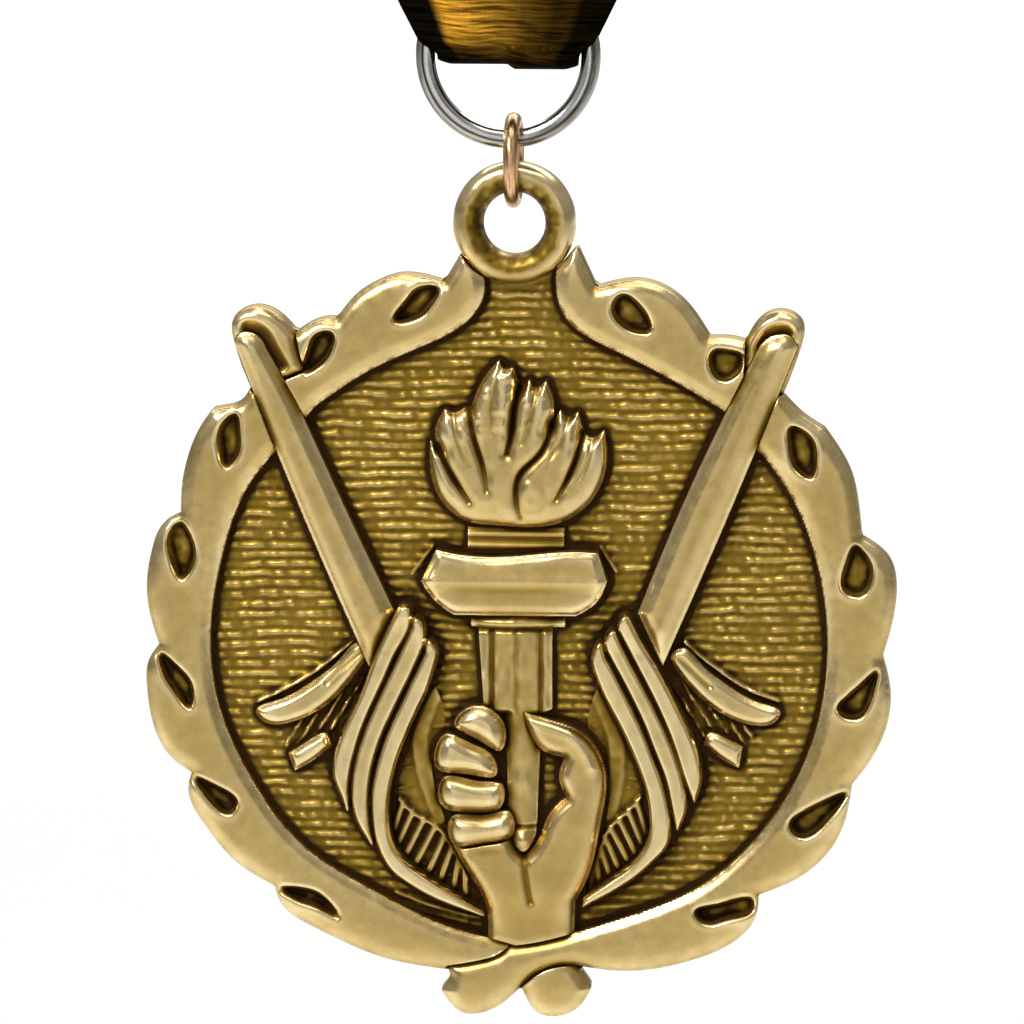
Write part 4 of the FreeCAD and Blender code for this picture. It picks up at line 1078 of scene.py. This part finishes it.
def strip(name, path, half, lift, material, closed=True, columns=41):
    """Flat strip along a YZ path: half width and lift off the path may change along and across it."""
    path = np.array(path, float)
    n = len(path)
    ahead, behind = np.roll(path, -1, 0), np.roll(path, 1, 0)
    if not closed:
        ahead[-1], behind[0] = 2 * path[-1] - path[-2], 2 * path[0] - path[1]
    normal = crosswise(ahead - behind)
    along = np.concatenate([[0], np.cumsum(np.hypot(*np.diff(path, axis=0).T))])
    w = np.broadcast_to(np.linspace(-1, 1, columns), (n, columns))
    shift = lift(path, along)(w) if lift else np.zeros((n, columns))
    edge = THICK / 2 * (1 - 0.55 * np.clip((np.abs(w) - 0.97) / 0.03, 0, 1))
    w = np.hstack([w, w[:, ::-1]])
    off = np.hstack([shift + edge, (shift - edge)[:, ::-1]])
    v = np.stack([RING_AT[0] + w * half(path)[:, None], path[:, :1] + normal[:, :1] * off,
                  path[:, 1:] + normal[:, 1:] * off], 2)
    v = settle(v.reshape(-1, 3))
    faces = grid_faces(n, 2 * columns, closed)
    if not closed:
        for j in range(columns - 1):
            near_end = (j, 2 * columns - 1 - j, 2 * columns - 2 - j, j + 1)
            faces += [near_end, tuple(k + (n - 1) * 2 * columns for k in near_end[::-1])]
    # Painted shade: the legs near the ring are darkened across their width except a band left of centre, and
    # the fold's underside is near black.
    low = ease((LEG_TOP + 3 - v[:, 2]) / 9)
    painted_shade_across = np.interp(w.ravel(), [-0.72, -0.6, -0.32, -0.1, 0.15, 0.5], [0.7, 0.0, 0.0, 0.6, 0.86, 0.96])
    return make_object(name, v, faces, material, "ribbon",
                       across=w.ravel(), along=np.repeat(along, 2 * columns),
                       worn=np.maximum(low * painted_shade_across, 0.95 * ease((FOLD_Z + 1.8 - v[:, 2]) / 2.6)))


def settle(v):
    """The hank sags a little out of flat, and its layers with it."""
    v = v.copy()
    up = ease((v[:, 2] - LEG_TOP) / 14) * ease((HANK_TOP + 4 - v[:, 2]) / 14)
    sag = 0.35 * np.sin(v[:, 2] / 9.0) + 0.22 * np.sin(v[:, 0] / 6.5 + 0.8) * np.cos(v[:, 2] / 12)
    v[:, 1] += up * sag
    return v


def ribbon_half(path):
    z = path[:, 1] - FOLD_Z
    return np.where(path[:, 1] > LEG_TOP + 2, WIDE,
                    np.interp(z, [-2, -0.74, 0.2, 3.6, 8.8, 40], [5.9, 5.9, 7.35, 9.0, WIDE, WIDE]))


def ribbon_lift(path, along):
    """Soft pleats where the ribbon is gathered into the ring, always away from the wire."""
    z = path[:, 1] - FOLD_Z
    leg_part = ease((z + 1.4) / 2.0) * ease((9.5 - z) / 8.0)
    fold_part = ease((0.3 - z) / 1.2)
    front = path[:, 0] < 0

    def shape(w):
        pleat = 1.05 * bell(w + 0.42, 0.24) + 0.4 * bell(w - 0.45, 0.3)
        pleat_back = 0.9 * bell(w - 0.3, 0.28) + 0.3 * bell(w + 0.5, 0.3)
        lobes = 0.10 + 0.42 * ease((w + 0.02) / 0.12) - 0.25 * ease((np.abs(w) - 0.8) / 0.2)
        both = np.where(front[:, None], pleat, pleat_back)
        return -(leg_part[:, None] * both + fold_part[:, None] * lobes)
    return shape


front_leg, back_leg = leg(-1), leg(1)
last = (RUNS - 1) * PITCH
loop_path = front_leg + turned((last, LEG_TOP), PAIR, math.pi, 2 * math.pi) + back_leg[::-1]
loop_path += turned((0, FOLD_Z), FOLD_R, 0, -math.pi, 15)
rows = np.array(loop_path)
gap = np.hypot(*(rows - np.roll(rows, 1, 0)).T)
rows = rows[gap > 0.02]
smooth = rows.copy()
for _ in range(2):
    smooth = 0.25 * np.roll(smooth, 1, 0) + 0.5 * smooth + 0.25 * np.roll(smooth, -1, 0)
legs_only = ((rows[:, 1] < LEG_TOP + 1.5) & (np.abs(rows[:, 0]) < 3) & (rows[:, 1] > FOLD_Z + 0.5))[:, None]
rows = np.where(legs_only, smooth, rows)
ribbon = strip("neck_ribbon", rows, ribbon_half, ribbon_lift, satin)
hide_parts("ribbon_fold", "ribbon_front_leg", "ribbon_back_leg", "ribbon_hank")

HANK_FRONT, HANK_BACK = -PAIR - 0.225, last + PAIR + 0.225
LAP_LOW = LEG_TOP + 3.0
low, high = (HANK_BACK + 0.2, LAP_LOW + 0.4), (HANK_BACK + 0.2, LAP_LOW + 14.6)
lap_rows = straight((HANK_BACK + 0.03, LAP_LOW), low, 0.2) + straight(low, high, 0.7)
lap_rows += [(HANK_BACK + 0.03, LAP_LOW + 15.0)]
lap = strip("ribbon_lap_end", lap_rows, lambda path: np.full(len(path), WIDE), None, satin, False)
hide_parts("ribbon_lap")

v, faces = [], []
corners = np.array([(-9.3, 1.6), (9.3, 1.6), (9.3, 13.4), (-9.3, 13.4)])
angle = np.linspace(0, 2 * math.pi, 10, endpoint=False)
for a, b in zip(corners, np.roll(corners, -1, 0)):
    length = np.hypot(*(b - a))
    count = int(round(length / 2.3))
    heading = (b - a) / length
    for m in range(count):
        faces += grid_faces(9, 10, False, 10 * len(v)) + end_caps(9, 10, 10 * len(v))
        for u in np.linspace(0, 1, 9):
            x, z = a + heading * (m + 0.14 + 0.72 * u) / count * length
            fat = 0.15 * math.sqrt(max(1 - (2 * u - 1) ** 4, 0.05))
            rise = 0.12 * (1 - (2 * u - 1) ** 2)
            v.append(np.column_stack([RING_AT[0] + x - heading[1] * np.cos(angle) * fat,
                                      HANK_BACK + 0.36 + rise + np.sin(angle) * fat,
                                      LAP_LOW + z + heading[0] * np.cos(angle) * fat]))
v = settle(np.vstack(v))
stitching = make_object("join_stitches", v, faces, thread, "ribbon",
                        across=0 * v[:, 0], along=v[:, 0] + v[:, 2])
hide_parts("join_stitching")

# narrow band round the hank
BAND_LOW, BAND_HIGH = LEG_TOP + 24.0, LEG_TOP + 31.0
corner = 0.55
x1, y0, y1 = WIDE + 0.28, HANK_FRONT - 0.28, HANK_BACK + 0.28
loop_xy = []
for cx, cy, start in ((x1 - corner, y1 - corner, 0), (-x1 + corner, y1 - corner, 90),
                      (-x1 + corner, y0 + corner, 180), (x1 - corner, y0 + corner, 270)):
    for q in np.radians(np.linspace(start, start + 90, 8)):
        loop_xy.append((cx + corner * math.cos(q), cy + corner * math.sin(q)))
dense = []
for point, nxt in zip(loop_xy, loop_xy[1:] + loop_xy[:1]):
    dense += straight(point, nxt, 0.8)
dense = np.array(dense)
n = len(dense)
normal = crosswise(np.roll(dense, -1, 0) - np.roll(dense, 1, 0))
along = np.cumsum(np.hypot(*(dense - np.roll(dense, 1, 0)).T))
levels = np.linspace(0, 1, 15)
rows = []
for u, sign in [(u, 1) for u in levels] + [(u, -1) for u in levels[::-1]]:
    puff = 0.05 * math.sin(u * math.pi) + 0.22 * (1 - 0.4 * (abs(2 * u - 1) > 0.99))
    ripple = 0.12 * np.sin(dense[:, 0] / 3.7 + 5 * u)
    spot = dense + normal * sign * puff
    rows.append(np.column_stack([RING_AT[0] + spot[:, 0], spot[:, 1],
                                 BAND_LOW + u * (BAND_HIGH - BAND_LOW) + ripple * (0.4 + 0.3 * u)]))
across = np.concatenate([levels, levels[::-1]]) * 2 - 1
band = make_object("hank_tie_band", settle(np.vstack(rows)), grid_faces(len(rows), n), dark_band, "ribbon",
                   across=np.repeat(across, n), along=np.tile(along, len(rows)))
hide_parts("hank_band")

# ---------------------------------------------------------------- floor, light and camera
floor_mesh = bpy.data.meshes.new("floor")
floor_mesh.from_pydata([(-6, -6, -0.30), (6, -6, -0.30), (6, 6, -0.30), (-6, 6, -0.30)], [], [(0, 1, 2, 3)])
pale, tree, shader = new_material("pale_floor")
feed(shader, {"Base Color": (0.86, 0.86, 0.85), "Roughness": 0.9})
floor_mesh.materials.append(pale)
placed("floor", floor_mesh)

world = bpy.data.worlds.new("studio")
bpy.context.scene.world = world
world.use_nodes = True
tree = world.node_tree
split = node(tree, "SeparateXYZ", {0: node(tree, "TexCoord", {}).outputs["Generated"]})
height = calc(tree, "ADD", calc(tree, "MULTIPLY", split.outputs[2], 0.5), 0.5)
feed(tree.nodes["Background"], {"Strength": 1.0, "Color": ramp(
    tree, height, [(0, 0.10), (0.45, 0.22), (0.60, 0.34), (1, 0.60)])})


def aim(obj, at, heading):
    obj.location = at
    obj.rotation_mode = "QUATERNION"
    obj.rotation_quaternion = heading.to_track_quat("-Z", "Y")


def softbox(name, at, target, size, power):
    light = bpy.data.lights.new(name, "AREA")
    light.size = size
    light.energy = power
    aim(placed(name, light), Vector(at), Vector(target) - Vector(at))


CENTRE = Vector(to_world(-0.68, 0.0, 8.55)[0])
softbox("key", CENTRE + Vector((-0.30, -0.42, 0.50)), CENTRE, 0.28, 4.4)
softbox("top", CENTRE + Vector((0.10, -0.05, 0.75)), CENTRE, 0.5, 2.4)
softbox("front_fill", CENTRE + Vector((0.1, -1.7, 0.0)), CENTRE, 1.5, 3.8)
softbox("background", (0, 2.8, 1.9), (0, 2.8, -0.3), 3.2, 75.0)
bpy.context.scene.view_settings.view_transform = "Standard"

camera = bpy.data.cameras.new("camera")
camera.sensor_width = 36
camera.lens = 249
camera.clip_start, camera.clip_end = 0.01, 50
view = placed("camera", camera)
bpy.context.scene.camera = view
turn, rise = math.radians(4.5), math.radians(8)
back = Vector((math.sin(turn) * math.cos(rise), -math.cos(turn) * math.cos(rise), math.sin(rise)))
aim(view, CENTRE + back * 0.6, -back)
